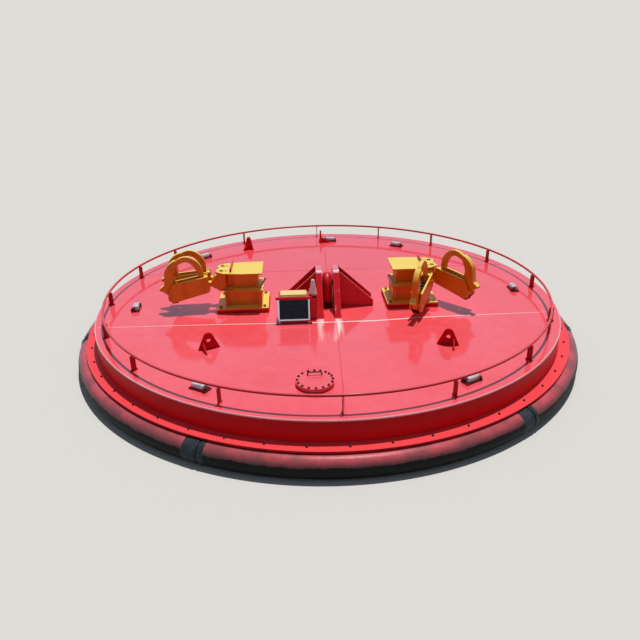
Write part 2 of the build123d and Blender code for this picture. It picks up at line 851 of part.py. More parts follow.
def make_frame(plane):
    """Two side plates joined by a bottom web, a catch block, a rope seat and both pins."""
    outer_half_width = frame_inner_half_width + frame_plate_thickness
    horn_pin = (horn_pin_reach, -horn_pin_drop)
    belly_slope = (horn_pin_drop + frame_end_radius - frame_belly_depth) / (horn_pin_reach + frame_belly_reach)

    def belly_at(reach):
        return -frame_belly_depth - (reach + frame_belly_reach) * belly_slope + web_lift

    with BuildPart() as frame:
        for face in (-outer_half_width, frame_inner_half_width):
            with BuildSketch(plane.offset(face)):
                Polygon(
                    (-frame_heel_reach, -frame_heel_bottom),
                    (-frame_belly_reach, -frame_belly_depth),
                    (frame_toe_reach, frame_toe_top),
                    (-frame_heel_reach, frame_heel_top),
                    align=None,
                )
                with Locations(horn_pin):
                    Circle(frame_end_radius)
                make_hull()
            extrude(amount=frame_plate_thickness)
        with BuildSketch(plane):
            Polygon(
                (web_inner_reach, belly_at(web_inner_reach)),
                (web_outer_reach, belly_at(web_outer_reach)),
                (web_outer_reach, belly_at(web_outer_reach) + web_thickness),
                (web_inner_reach, belly_at(web_inner_reach) + web_thickness),
                align=None,
            )
            Polygon(
                (-catch_inner_reach, catch_bottom),
                (catch_outer_reach, catch_bottom),
                (catch_outer_reach, catch_top),
                (-catch_inner_reach, catch_top),
                align=None,
            )
            Polygon(
                (seat_inner_reach, seat_top - seat_thickness),
                (seat_outer_reach, seat_top - seat_thickness),
                (seat_outer_reach, seat_top),
                (seat_inner_reach, seat_top),
                align=None,
            )
        extrude(amount=frame_inner_half_width, both=True)
        for pin_place, pin_radius in (((0, 0), pitch_pin_radius), (horn_pin, horn_pin_radius)):
            extrude(pin_section(plane, pin_place, pin_radius), amount=outer_half_width, both=True)
            for face in (-outer_half_width - frame_pin_head, outer_half_width):
                head = pin_section(plane.offset(face), pin_place, frame_pin_head_radius)
                extrude(head, amount=frame_pin_head)
    return frame.part


def make_horn(plane):
    """The curved horn and its bow, from the hinge eye over to the tip between the plates."""
    horn_pin = (horn_pin_reach, -horn_pin_drop)
    with BuildPart() as horn:
        with BuildSketch(plane):
            with BuildLine():
                Spline(*bow_outer_points)
                Line(bow_outer_points[-1], bow_inner_points[-1])
                Spline(*bow_inner_points)
                Line(*horn_tip)
            make_face()
        extrude(amount=bow_half_width, both=True)
        with BuildSketch(plane):
            with BuildLine():
                Spline(*horn_outer_points)
                Polyline(*horn_heel)
                Line(horn_heel[-1], horn_inner_points[-1])
                Spline(*horn_inner_points)
                Line(horn_inner_points[0], horn_outer_points[0])
            make_face()
            with Locations(horn_pin):
                Circle(horn_eye_radius)
                Circle(horn_pin_radius + running_clearance, mode=Mode.SUBTRACT)
        extrude(amount=horn_half_width, both=True)
    return horn.part


for hook_name, side, end, heading, pitch, boss_radius in hooks:
    plane = hook_plane(side, end, heading, pitch)
    save(make_knuckle(side, end, heading, boss_radius), f"{hook_name}_knuckle")
    save(make_frame(plane), f"{hook_name}_frame")
    save(make_horn(plane), f"{hook_name}_horn")
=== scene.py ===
"""Looks of a round steel mooring buoy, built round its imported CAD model.

Every length is in metres, in the CAD model's own frame: the origin is the centre of the flat
bottom, Z is up, and the solar panel faces -Y. Headings and bearings are in degrees from +X,
anticlockwise from above.
"""

import logging
import math
from dataclasses import dataclass, replace
from enum import Enum
from typing import Any, Protocol, Union

import bmesh
import bpy
import numpy as np
from mathutils import Matrix


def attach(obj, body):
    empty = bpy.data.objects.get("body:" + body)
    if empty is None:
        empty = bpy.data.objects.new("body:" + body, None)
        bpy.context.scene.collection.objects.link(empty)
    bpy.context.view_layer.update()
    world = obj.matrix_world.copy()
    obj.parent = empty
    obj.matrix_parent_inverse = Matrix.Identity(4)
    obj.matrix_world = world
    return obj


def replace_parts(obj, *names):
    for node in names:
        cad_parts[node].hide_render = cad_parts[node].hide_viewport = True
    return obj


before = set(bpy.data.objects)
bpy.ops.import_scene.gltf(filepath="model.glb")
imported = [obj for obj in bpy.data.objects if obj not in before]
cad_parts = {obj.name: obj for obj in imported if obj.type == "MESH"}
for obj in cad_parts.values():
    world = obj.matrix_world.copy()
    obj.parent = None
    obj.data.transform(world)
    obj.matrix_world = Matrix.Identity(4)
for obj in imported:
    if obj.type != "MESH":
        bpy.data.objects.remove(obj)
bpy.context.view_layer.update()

LOG = logging.getLogger("mooring_buoy")
Array = np.ndarray
Colour = tuple[float, float, float]
Point = tuple[float, float, float]

# Heights of the deck's top and of the waterline, and the deck's radius.
DECK = 1.75
WATERLINE = 1.085
HULL_RADIUS = 3.825

FULL_TURN = 2 * math.pi


def srgb(red: float, green: float, blue: float) -> Colour:
    """Turns a screen colour into a linear one, by the screen's own curve.

    Args:
        red: Red, from 0 to 255.
        green: Green, from 0 to 255.
        blue: Blue, from 0 to 255.

    Returns:
        The linear colour, from 0 to 1.
    """
    screen = np.array([red, green, blue]) / 255
    linear = np.where(screen <= 0.04045, screen / 12.92, ((screen + 0.055) / 1.055) ** 2.4)
    return tuple(float(value) for value in linear)


def unit(vector: Any) -> Array:
    """The vector at length one."""
    vector = np.asarray(vector, float)
    return vector / np.linalg.norm(vector, axis=-1, keepdims=True)


class Socket:
    """A shader socket on which Python's operators add Math nodes."""

    def __init__(self, graph: "Graph", link: bpy.types.NodeSocket) -> None:
        """Keeps the graph that the socket belongs to."""
        self.graph = graph
        self.link = link

    def __add__(self, other: "Value") -> "Socket":
        """self + other."""
        return self.graph.math("ADD", self, other)

    def __sub__(self, other: "Value") -> "Socket":
        """self - other."""
        return self.graph.math("SUBTRACT", self, other)

    def __rsub__(self, other: "Value") -> "Socket":
        """other - self."""
        return self.graph.math("SUBTRACT", other, self)

    def __mul__(self, other: "Value") -> "Socket":
        """self * other."""
        return self.graph.math("MULTIPLY", self, other)

    def __abs__(self) -> "Socket":
        """Size of self without its sign."""
        return self.graph.math("ABSOLUTE", self)

    __radd__ = __add__
    __rmul__ = __mul__


Value = Union[Socket, float]


class Graph:
    """One material's shader, with a Principled BSDF as its surface."""

    def __init__(self, name: str) -> None:
        """Makes the material and its empty shader.

        Args:
            name: Name of the material.
        """
        self.material = bpy.data.materials.new(f"{name}_finish")
        self.material.use_nodes = True
        self.tree = self.material.node_tree
        self.tree.nodes.clear()
        self.surface = self.tree.nodes.new("ShaderNodeBsdfPrincipled")
        output = self.tree.nodes.new("ShaderNodeOutputMaterial")
        self.tree.links.new(self.surface.outputs[0], output.inputs[0])
        self.place = self.node("ShaderNodeTexCoord", out="Object")

    def node(
        self, kind: str, settings: dict | None = None, inputs: dict | None = None,
        out: str | int = 0,
    ) -> Socket:
        """Adds a node, sets it up and fills its sockets.

        Args:
            kind: Blender's name of the node's type.
            settings: Properties, which are set first.
            inputs: Values or sockets by input name, identifier or number.
            out: Name, identifier or number of the output wanted.

        Returns:
            That output.
        """
        node = self.tree.nodes.new(kind)
        for name, value in (settings or {}).items():
            setattr(node, name, value)
        for name, value in (inputs or {}).items():
            self.plug(self.find(node.inputs, name), value)
        return Socket(self, self.find(node.outputs, out))

    @staticmethod
    def find(sockets: Any, key: str | int) -> bpy.types.NodeSocket:
        """Finds a socket.

        Args:
            sockets: A node's inputs or outputs.
            key: The socket's number, identifier or name. An identifier comes before a name.

        Returns:
            The socket.
        """
        if isinstance(key, int):
            return sockets[key]
        found = [socket for socket in sockets if socket.identifier == key]
        found += [socket for socket in sockets if socket.name == key]
        return found[0]

    def plug(self, socket: bpy.types.NodeSocket, value: Any) -> None:
        """Links a socket, or sets a value on it.

        Args:
            socket: The input to fill.
            value: A socket, a number, a vector or a colour.
        """
        if isinstance(value, Socket):
            self.tree.links.new(value.link, socket)
        elif isinstance(value, tuple) and socket.type == "RGBA":
            socket.default_value = (*value, 1)
        else:
            socket.default_value = value

    def math(self, operation: str, *values: Value) -> Socket:
        """A Math node on one or two values."""
        return self.node("ShaderNodeMath", {"operation": operation}, dict(enumerate(values)))

    def step(self, value: Value, low: float, high: float) -> Socket:
        """Rises smoothly from 0 at low to 1 at high."""
        inputs = {"Value": value, "From Min": low, "From Max": high}
        return self.node("ShaderNodeMapRange", {"interpolation_type": "SMOOTHSTEP"}, inputs)

    def mix(self, share: Value, first: Any, second: Any) -> Socket:
        """Colour between first at 0 and second at 1."""
        inputs = {"Factor_Float": share, "A_Color": first, "B_Color": second}
        return self.node("ShaderNodeMix", {"data_type": "RGBA"}, inputs, "Result_Color")

    def noise(
        self, scale: float, detail: float = 3.0, stretch: Point = (1, 1, 1), turn: float = 0.0
    ) -> Socket:
        """Noise from 0 to 1 on Object coordinates.

        Args:
            scale: Cells in a metre.
            detail: Octaves.
            stretch: Factor on each axis.
            turn: Turn about Z, in degrees.

        Returns:
            The noise's value.
        """
        inputs = {"Vector": self.place, "Scale": stretch, "Rotation": (0, 0, math.radians(turn))}
        place = self.node("ShaderNodeMapping", {}, inputs)
        inputs = {"Vector": place, "Scale": scale, "Detail": detail}
        return self.node("ShaderNodeTexNoise", {}, inputs)

    def along(self, axis: str) -> Socket:
        """Object coordinate on X, Y or Z."""
        return self.node("ShaderNodeSeparateXYZ", {}, {"Vector": self.place}, axis)

    def facing_up(self) -> Socket:
        """Z of the surface's own direction, from -1 to 1."""
        normal = self.node("ShaderNodeNewGeometry", out="Normal")
        return self.node("ShaderNodeSeparateXYZ", {}, {"Vector": normal}, "Z")

    def rounded(self, radius: float) -> Socket:
        """Surface direction with sharp edges rounded off."""
        return self.node("ShaderNodeBevel", {"samples": 4}, {"Radius": radius})

    def edges(self, radius: float) -> Socket:
        """Finds sharp edges, where the rounded direction leaves the face's own.

        Args:
            radius: How far from an edge the rounding reaches.

        Returns:
            About 0 on open faces, rising towards the edges.
        """
        normal = self.node("ShaderNodeNewGeometry", out="Normal")
        both = {"Vector": self.rounded(radius), "Vector_001": normal}
        alike = self.node("ShaderNodeVectorMath", {"operation": "DOT_PRODUCT"}, both, "Value")
        return self.step(1 - alike, 0.01, 0.16)

    def bump(
        self, height: Socket, distance: float, under: Socket | None = None, strength: float = 1.0
    ) -> Socket:
        """Bends the surface's direction by a height.

        Args:
            height: The height, in shares of distance.
            distance: What a height of 1 stands for.
            under: Direction to start from. None is the surface's own.
            strength: Share of the bend that is kept.

        Returns:
            The bent direction.
        """
        inputs: dict = {"Height": height, "Distance": distance, "Strength": strength}
        if under is not None:
            inputs["Normal"] = under
        return self.node("ShaderNodeBump", {}, inputs)

    def dress(self, **values: Any) -> bpy.types.Material:
        """Fills the Principled BSDF.

        Args:
            **values: Values or sockets by input name, with _ for a space.

        Returns:
            The material.
        """
        for name, value in values.items():
            self.plug(self.find(self.surface.inputs, name.replace("_", " ")), value)
        return self.material


class Finish(Protocol):
    """What every finish offers."""

    slot: str

    def build(self) -> bpy.types.Material:
        """Makes the material.

        Returns:
            The finished material.
        """


class Zone(Enum):
    """Where a paint sits, which says what marks it has."""

    PLAIN = "plain"
    DECK = "deck"
    WALL = "wall"
    BRACKET = "bracket"


PRIMER = srgb(226, 205, 198)
RUST = srgb(112, 52, 24)
# White of the painted highlight on the cheeks' noses.
PAINTED_GLINT = srgb(255, 246, 246)

# Heights between which the cheeks' noses carry a painted white highlight, a glint on their top
# front edges.
PAINTED_GLINT_TOP = (DECK + 0.60, DECK + 0.615)

# The two pale runs ahead of the bracket: their distance from the middle, and where their front
# ends (Y) and rear ends (-Y) fade.
RUN_X = 0.145
RUN_FRONT = (-2.15, -1.0)
RUN_REAR = (0.88, 0.95)

# Radii between which the deck darkens in patches towards its edge.
EDGE_LINE = (3.62, 3.80)


@dataclass(frozen=True)
class Paint:
    """Weathered marine paint: fading, orange peel, chipped edges, rust runs and its zone's marks.

    Attributes:
        slot: Name of the finish.
        colour: Fresh paint.
        faded: Paint in the faded patches.
        painted_top_light: Paint on faces that look up, a painted top light. None leaves them as
            they are.
        chip: What shows where the paint has come off.
        roughness: Roughness of the smoothest paint.
        mottle: What the noise of middling size adds to it.
        fade: Share of the faded colour in its patches.
        chips: Amount of chipping, from 0 to 1.
        rust: Amount of rust, from 0 to 1.
        grime: Amount of dirt on upright faces, from 0 to 1.
        rounding: Radius to which sharp edges are shaded round.
        specular: Strength of the paint's own gloss.
        coat: Strength of the clear gloss over it.
        painted_light_from: How far up a face looks where the painted top light begins.
        glint_from_y: Distance ahead of the origin where the noses' painted white highlight begins.
            None has none.
        zone: Where the paint sits.
    """

    slot: str
    colour: Colour
    faded: Colour
    painted_top_light: Colour | None = None
    chip: Colour = PRIMER
    roughness: float = 0.34
    mottle: float = 0.16
    fade: float = 0.6
    chips: float = 0.5
    rust: float = 0.35
    grime: float = 0.3
    rounding: float = 0.004
    specular: float = 0.3
    coat: float = 0.12
    painted_light_from: float = 0.25
    glint_from_y: float | None = None
    zone: Zone = Zone.PLAIN

    def build(self) -> bpy.types.Material:
        """Makes the material.

        Returns:
            The finished material.
        """
        graph = Graph(self.slot)
        broad, middle, fine = graph.noise(0.8, 4), graph.noise(6.5, 5), graph.noise(150, 2)
        fading = graph.step(broad * 0.65 + middle * 0.35, 0.40, 0.62) * self.fade
        colour = graph.mix(fading, self.colour, self.faded)
        # Faces that look up turn towards a paler colour: painted top light.
        if self.painted_top_light is not None:
            lit = graph.step(graph.facing_up(), self.painted_light_from, 0.9) * 0.9
            colour = graph.mix(lit, colour, self.painted_top_light)
        colour, shine = self.mark_zone(graph, colour, middle)
        upright = 1 - abs(graph.facing_up())
        runs = graph.noise(9, 5, (1, 1, 0.09))
        dirt = graph.step(runs, 0.52, 0.78) * graph.step(upright, 0.4, 0.9) * self.grime
        colour = graph.mix(dirt, colour, tuple(0.28 * value for value in self.colour))
        edges = graph.edges(self.rounding * 2.6)
        speckle = graph.noise(42, 6)
        wear = edges * 0.55 + speckle * 0.75
        worn = graph.step(wear, 0.90 - 0.18 * self.chips, 1.02 - 0.18 * self.chips)
        colour = graph.mix(worn * self.chips, colour, self.chip)
        spots = graph.step(speckle + graph.noise(3.1, 2) * 0.45, 0.93, 0.99) * self.rust
        drips = graph.step(graph.noise(14, 4, (1, 1, 0.05)), 0.66, 0.80)
        weeps = drips * graph.step(upright, 0.5, 1) * self.rust
        rusted = graph.math("MAXIMUM", spots, weeps * 0.8)
        colour = graph.mix(rusted, colour, RUST)
        roughness = self.roughness + shine + middle * self.mottle + spots * 0.4 + worn * 0.2
        relief = fine * 0.25 + middle * 0.5 - worn * self.chips * 1.2 - spots * 0.8
        normal = graph.bump(relief, 0.0012, graph.rounded(self.rounding), 0.6)
        return graph.dress(
            Base_Color=colour, Roughness=roughness, Normal=normal,
            Specular_IOR_Level=self.specular, Coat_Weight=self.coat, Coat_Roughness=0.15
        )

    def mark_zone(self, graph: Graph, colour: Socket, middle: Socket) -> tuple[Socket, Value]:
        """Adds the marks of the paint's own place.

        Args:
            graph: The material's shader.
            colour: The paint so far.
            middle: Noise of middling size.

        Returns:
            The marked colour, and what it adds to the roughness.
        """
        if self.zone is Zone.DECK:
            return self.mark_deck(graph, colour, middle)
        if self.zone is Zone.WALL:
            height = graph.along("Z")
            wet = 1 - graph.step(height + middle * 0.05, WATERLINE + 0.01, WATERLINE + 0.10)
            growth = graph.mix(graph.noise(30, 4), srgb(58, 34, 24), srgb(84, 66, 40))
            return graph.mix(wet * 0.85, colour, growth), wet * -0.12
        if self.zone is Zone.BRACKET:
            ahead = graph.along("Y") * -1
            scrapes = graph.step(graph.noise(22, 4, (1, 1, 0.25)), 0.68, 0.76)
            marked = graph.mix(scrapes * graph.step(ahead, 0.36, 0.52) * 0.7, colour, PRIMER)
            # The top of each cheek's nose gets a painted white highlight.
            if self.glint_from_y is not None:
                nose = graph.step(ahead, self.glint_from_y, self.glint_from_y + 0.02)
                rub_and_glint = nose * graph.step(graph.along("Z"), *PAINTED_GLINT_TOP)
                marked = graph.mix(rub_and_glint * 0.9, marked, PAINTED_GLINT)
            return marked, scrapes * 0.2
        return colour, 0.0

    def mark_deck(self, graph: Graph, colour: Socket, middle: Socket) -> tuple[Socket, Value]:
        """Marks a walked and washed deck.

        It is a deeper red at the rear, with pale runs ahead of the bracket, scuffs, the stains of
        puddles and darker patches towards its edge.

        Args:
            graph: The material's shader.
            colour: The paint so far.
            middle: Noise of middling size.

        Returns:
            The marked colour, and what it adds to the roughness.
        """
        across, back = graph.along("X"), graph.along("Y")
        behind = graph.step(back + graph.noise(0.55, 3), -0.4, 2.6)
        colour = graph.mix(behind * 0.6, colour, srgb(248, 70, 80))
        off_centre = abs(abs(across) - RUN_X)
        width = graph.step(off_centre * -1, -0.075, -0.01)
        length = graph.step(back, *RUN_FRONT) * graph.step(back * -1, *RUN_REAR)
        runs = graph.step(graph.noise(16, 4, (1, 0.12, 1)) + length * 0.25, 0.52, 0.85)
        colour = graph.mix(width * length * runs, colour, srgb(255, 214, 208))
        scuffs = graph.step(graph.noise(7, 6, (0.12, 1, 1), 24), 0.70, 0.77)
        others = graph.step(graph.noise(6, 6, (1, 0.10, 1), -33), 0.71, 0.78)
        scuffs = graph.math("MAXIMUM", scuffs, others)
        colour = graph.mix(scuffs * 0.14, colour, srgb(255, 178, 186))
        puddle = graph.step(graph.noise(1.7, 5), 0.54, 0.68)
        colour = graph.mix(puddle * 0.08, colour, srgb(188, 40, 52))
        edge_line = graph.step(across * across + back * back, *(radius**2 for radius in EDGE_LINE))
        worn = edge_line * graph.step(middle, 0.45, 0.7) * 0.12
        colour = graph.mix(worn, colour, srgb(170, 40, 50))
        return colour, puddle * 0.03 + scuffs * 0.08


@dataclass(frozen=True)
class FenderRubber:
    """Black rubber tube with a weathered red coat on its upper side, paler at the top as painted
    light.

    Attributes:
        slot: Name of the finish.
        paint_line: Heights between which the coat comes in.
        painted_top_light_line: Heights over which the coat turns paler upwards, as painted light.
    """

    slot: str = "fender_rubber"
    paint_line: tuple[float, float] = (1.290, 1.308)
    painted_top_light_line: tuple[float, float] = (1.30, 1.385)

    def build(self) -> bpy.types.Material:
        """Makes the material.

        Returns:
            The finished material.
        """
        graph = Graph(self.slot)
        height, middle, speckle = graph.along("Z"), graph.noise(5, 5), graph.noise(55, 6)
        ragged = height + (middle - 0.5) * 0.06 + (speckle - 0.5) * 0.04
        painted = graph.step(ragged, *self.paint_line)
        worn = graph.step(graph.noise(20, 6) + (1 - painted) * 0.25, 0.62, 0.76)
        # The coat is darker low down and paler at the top: painted shade and painted light.
        painted_top_light = graph.step(height + (middle - 0.5) * 0.05, *self.painted_top_light_line)
        coat = graph.mix(painted_top_light, srgb(120, 64, 68), srgb(212, 90, 102))
        smudge = graph.step(graph.noise(2.6, 5, (1, 1, 0.5)), 0.38, 0.62) * 0.6
        coat = graph.mix(smudge, coat, srgb(110, 74, 75))
        rubber = graph.mix(graph.step(middle, 0.4, 0.65), srgb(8, 7, 6), srgb(17, 15, 13))
        salt = graph.step(graph.noise(30, 6, (1, 1, 0.4)), 0.66, 0.84) * 0.10
        rubber = graph.mix(salt, rubber, srgb(92, 80, 74))
        share = painted * (1 - worn * 0.35)
        colour = graph.mix(share, rubber, coat)
        scrapes = graph.noise(80, 4, (0.6, 0.6, 0.15))
        relief = speckle * 0.5 + scrapes * 0.6 + share * 0.3
        normal = graph.bump(relief, 0.003, None, 0.7)
        roughness = 0.50 + speckle * 0.16 - share * 0.26
        return graph.dress(
            Base_Color=colour, Roughness=roughness, Normal=normal, Specular_IOR_Level=0.16
        )


@dataclass(frozen=True)
class Rubber:
    """Moulded rubber with scuffs and a dry bloom.

    Attributes:
        slot: Name of the finish.
        colour: Clean rubber.
        bloom: The dry bloom, and scuffed edges.
        roughness: Roughness of the smoothest rubber.
    """

    slot: str
    colour: Colour
    bloom: Colour
    roughness: float = 0.48

    def build(self) -> bpy.types.Material:
        """Makes the material.

        Returns:
            The finished material.
        """
        graph = Graph(self.slot)
        middle, speckle = graph.noise(9, 5), graph.noise(90, 5)
        dry = graph.step(middle * 0.6 + speckle * 0.4, 0.42, 0.66) * 0.6
        colour = graph.mix(dry, self.colour, self.bloom)
        rub_and_glint = graph.edges(0.010) * graph.step(speckle, 0.4, 0.6)
        colour = graph.mix(rub_and_glint * 0.5, colour, self.bloom)
        normal = graph.bump(speckle * 0.6 + middle * 0.5, 0.002, graph.rounded(0.004), 0.6)
        roughness = self.roughness + speckle * 0.2
        return graph.dress(
            Base_Color=colour, Roughness=roughness, Normal=normal, Specular_IOR_Level=0.3
        )


@dataclass(frozen=True)
class Metal:
    """Bare or plated metal with stains, fine scratches and dull patches.

    Attributes:
        slot: Name of the finish.
        colour: Clean metal.
        stain: Stained metal.
        metallic: How metallic it is where it is clean.
        roughness: Roughness of the smoothest metal.
        stained: Share of the stain's colour in its patches.
        grain: Share of the scratches in the relief.
    """

    slot: str
    colour: Colour
    stain: Colour
    metallic: float = 1.0
    roughness: float = 0.35
    stained: float = 0.5
    grain: float = 0.3

    def build(self) -> bpy.types.Material:
        """Makes the material.

        Returns:
            The finished material.
        """
        graph = Graph(self.slot)
        middle, speckle = graph.noise(18, 5), graph.noise(160, 4)
        marks = graph.step(middle, 0.46, 0.66) * self.stained
        colour = graph.mix(marks, self.colour, self.stain)
        scratches = graph.noise(60, 3, (1, 0.08, 1), 31)
        bright = graph.edges(0.006) * graph.step(speckle, 0.35, 0.6)
        polished = tuple(min(1.0, value * 1.6 + 0.05) for value in self.colour)
        colour = graph.mix(bright * 0.4, colour, polished)
        relief = scratches * self.grain + speckle * 0.3 + marks * 0.4
        normal = graph.bump(relief, 0.0008, graph.rounded(0.0025), 0.6)
        roughness = self.roughness + marks * 0.25 + scratches * 0.12
        metallic = self.metallic - marks * 0.6 * self.metallic
        return graph.dress(
            Base_Color=colour, Roughness=roughness, Metallic=metallic, Normal=normal
        )


@dataclass(frozen=True)
class Plastic:
    """Moulded plastic housing with a fine grain and a film of dust.

    Attributes:
        slot: Name of the finish.
        colour: Clean plastic.
        dust: Its dust.
    """

    slot: str
    colour: Colour
    dust: Colour

    def build(self) -> bpy.types.Material:
        """Makes the material.

        Returns:
            The finished material.
        """
        graph = Graph(self.slot)
        middle, grain = graph.noise(14, 4), graph.noise(420, 2)
        lying = graph.step(graph.facing_up(), 0.2, 0.9)
        film = graph.step(middle, 0.42, 0.7) * (lying * 0.4 + 0.2)
        colour = graph.mix(film, self.colour, self.dust)
        streaks = graph.step(graph.noise(40, 4, (1, 1, 0.06)), 0.55, 0.75) * (1 - lying) * 0.35
        colour = graph.mix(streaks, colour, self.dust)
        normal = graph.bump(grain * 0.5 + middle * 0.2, 0.0005, graph.rounded(0.003), 0.5)
        return graph.dress(Base_Color=colour, Roughness=0.38 + middle * 0.2, Normal=normal)


@dataclass(frozen=True)
class Lens:
    """Clear moulded lens, clouded where the sun and salt have got at it.

    Attributes:
        slot: Name of the finish.
        tint: Colour of the clear lens.
        cloud: Colour of the clouded patches.
        clear: Share of the light that goes through.
    """

    slot: str
    tint: Colour
    cloud: Colour
    clear: float = 0.25

    def build(self) -> bpy.types.Material:
        """Makes the material.

        Returns:
            The finished material.
        """
        graph = Graph(self.slot)
        middle, speckle = graph.noise(22, 4), graph.noise(200, 3)
        clouded = graph.step(middle, 0.40, 0.72) * 0.7
        colour = graph.mix(clouded, self.tint, self.cloud)
        normal = graph.bump(middle * 0.4 + speckle * 0.2, 0.0006, graph.rounded(0.003), 0.5)
        roughness = 0.07 + clouded * 0.3
        return graph.dress(
            Base_Color=colour, Roughness=roughness, Normal=normal, IOR=1.49,
            Transmission_Weight=self.clear
        )


@dataclass(frozen=True)
class SolarCell:
    """Blue-black silicon cells behind glass, with fine grey fingers and a little dust.

    Attributes:
        slot: Name of the finish.
        finger_pitch: Distance from finger to finger.
    """

    slot: str = "solar_cells"
    finger_pitch: float = 0.0062

    def build(self) -> bpy.types.Material:
        """Makes the material.

        Returns:
            The finished material.
        """
        graph = Graph(self.slot)
        wave = graph.math("SINE", graph.along("X") * (FULL_TURN / self.finger_pitch))
        fingers = graph.step(wave, 0.86, 0.99)
        inputs = {"Vector": graph.place, "Scale": 70.0}
        grain = graph.node("ShaderNodeTexVoronoi", {}, inputs, "Color")
        tone = graph.node("ShaderNodeSeparateColor", {}, {"Color": grain}, "Red")
        silicon = graph.mix(tone, srgb(8, 10, 20), srgb(16, 20, 38))
        colour = graph.mix(fingers * 0.4, silicon, srgb(78, 88, 108))
        dust = graph.step(graph.noise(8, 5), 0.5, 0.75)
        colour = graph.mix(dust * 0.05, colour, srgb(120, 112, 108))
        normal = graph.bump(tone * 0.2 + fingers * 0.3, 0.0003, None, 0.4)
        return graph.dress(
            Base_Color=colour, Roughness=0.3 + dust * 0.2, Normal=normal, Specular_IOR_Level=0.15,
            Coat_Weight=0.15, Coat_Roughness=0.05
        )


# A paint's third colour, where given, is the painted top light of its faces that look up.
FINISHES: dict[str, Finish] = {
    finish.slot: finish
    for finish in (
        Paint(
            "hull_paint", srgb(232, 14, 22), srgb(236, 28, 38), srgb(250, 80, 88),
            specular=0.12, coat=0.03, grime=0.08, rust=0.10, chips=0.2, zone=Zone.WALL),
        Paint(
            "deck_paint", srgb(251, 88, 99), srgb(253, 104, 118),
            roughness=0.05, mottle=0.03, grime=0.0, rust=0.0, chips=0.0, specular=0.5, coat=0.0,
            zone=Zone.DECK),
        # Pale pink on the deck's rim bead: a painted highlight of the rounded edge.
        Paint(
            "rim_highlight_paint", srgb(252, 160, 172), srgb(253, 190, 198),
            roughness=0.30, grime=0.0, rust=0.05, chips=0.1),
        Paint(
            "seam_paint", srgb(226, 78, 92), srgb(238, 104, 118),
            roughness=0.55, grime=0.1, rust=0.0, chips=0.0, specular=0.1, coat=0.0),
        Paint(
            "bracket_paint", srgb(212, 22, 34), srgb(218, 42, 52),
            roughness=0.28, chips=0.7, rust=0.15, grime=0.15, zone=Zone.BRACKET),
        Paint(
            "cheek_paint", srgb(226, 20, 34), srgb(230, 34, 48), srgb(246, 132, 146),
            roughness=0.22, chips=0.5, rust=0.1, grime=0.1, specular=0.2, coat=0.1, painted_light_from=0.7,
            glint_from_y=0.395, zone=Zone.BRACKET),
        Paint(
            "lug_paint", srgb(206, 12, 26), srgb(214, 24, 38),
            roughness=0.6, chips=0.15, rust=0.1, grime=0.1, specular=0.08, coat=0.0),
        # Dark red; on the manhole handle, the lights' bases and the stand's shoe it is painted
        # shade.
        Paint(
            "dark_and_shade_paint", srgb(84, 8, 16), srgb(108, 14, 24),
            roughness=0.45, chips=0.1, rust=0.1, grime=0.1),
        Paint(
            "rail_paint", srgb(180, 8, 18), srgb(198, 26, 38), srgb(240, 92, 104),
            chips=0.25, rust=0.15, grime=0.15, rounding=0.002, specular=0.15),
        # Its deep orange is painted shade on the sides; its pale yellow third colour is painted
        # light on the tops.
        Paint(
            "yellow_paint", srgb(232, 124, 10), srgb(238, 152, 34), srgb(255, 226, 96),
            srgb(140, 84, 40), roughness=0.32, chips=0.35, rust=0.2),
        FenderRubber(),
        Rubber("groove_rubber", srgb(9, 9, 10), srgb(18, 18, 20)),
        Rubber("wrap_rubber", srgb(34, 38, 44), srgb(66, 72, 80)),
        Metal("anode_metal", srgb(150, 150, 148), srgb(190, 186, 176), roughness=0.6, stained=0.8),
        Metal("frame_aluminium", srgb(252, 253, 250), srgb(232, 234, 232), 0.7, 0.2, 0.1),
        SolarCell(),
        Plastic("cream_box", srgb(253, 220, 142), srgb(240, 200, 124)),
        Plastic("busbar_foil", srgb(60, 68, 88), srgb(44, 50, 66)),
        Plastic("seam_filler", srgb(252, 226, 222), srgb(240, 190, 188)),
        Lens("lantern_lens", srgb(255, 248, 249), srgb(246, 222, 226)),
        Lens("light_lens", srgb(236, 236, 240), srgb(186, 180, 186)),
        Metal("pin_steel", srgb(104, 56, 26), srgb(66, 34, 18), 0.2, 0.5, 0.7),
        Metal("bolt_brown", srgb(168, 124, 52), srgb(98, 64, 28), 0.2, 0.5, 0.6),
        Metal("manhole_stud", srgb(86, 8, 16), srgb(46, 8, 10), 0.0, 0.55, 0.5),
        Metal("stud_steel", srgb(42, 30, 28), srgb(24, 16, 16), 0.4, 0.55, 0.7),
        Metal("lever_steel", srgb(190, 178, 160), srgb(158, 138, 112), 0.0, 0.6, 0.4),
    )
}

# The same paints on weld beads and small parts: hardly chipped, and without their zone's marks.
FINISHES |= {
    f"{slot}_weld": replace(
        FINISHES[slot], slot=f"{slot}_weld", chips=0.0, rust=0.05, zone=Zone.PLAIN)
    for slot in ("hull_paint", "deck_paint", "bracket_paint", "rail_paint", "yellow_paint")
}

# Finishes of the CAD nodes that differ from their slot's own.
NODE_FINISHES = {
    "bracket_cheek_left": "cheek_paint",
    "bracket_cheek_right": "cheek_paint",
    "lifting_lugs": "lug_paint",
    # The handle and the lights' bases take the dark red as painted shade.
    "manhole_handle": "dark_and_shade_paint",
    "deck_light_bases": "dark_and_shade_paint",
    # The foundations take the lugs' darker red as painted shade on their fronts.
    "left_foundation": "lug_paint",
    "right_foundation": "lug_paint",
}


# Radius and steps of the rounding on the cheeks' edges.
CHEEK_ROUNDING = 0.018
CHEEK_STEPS = 4


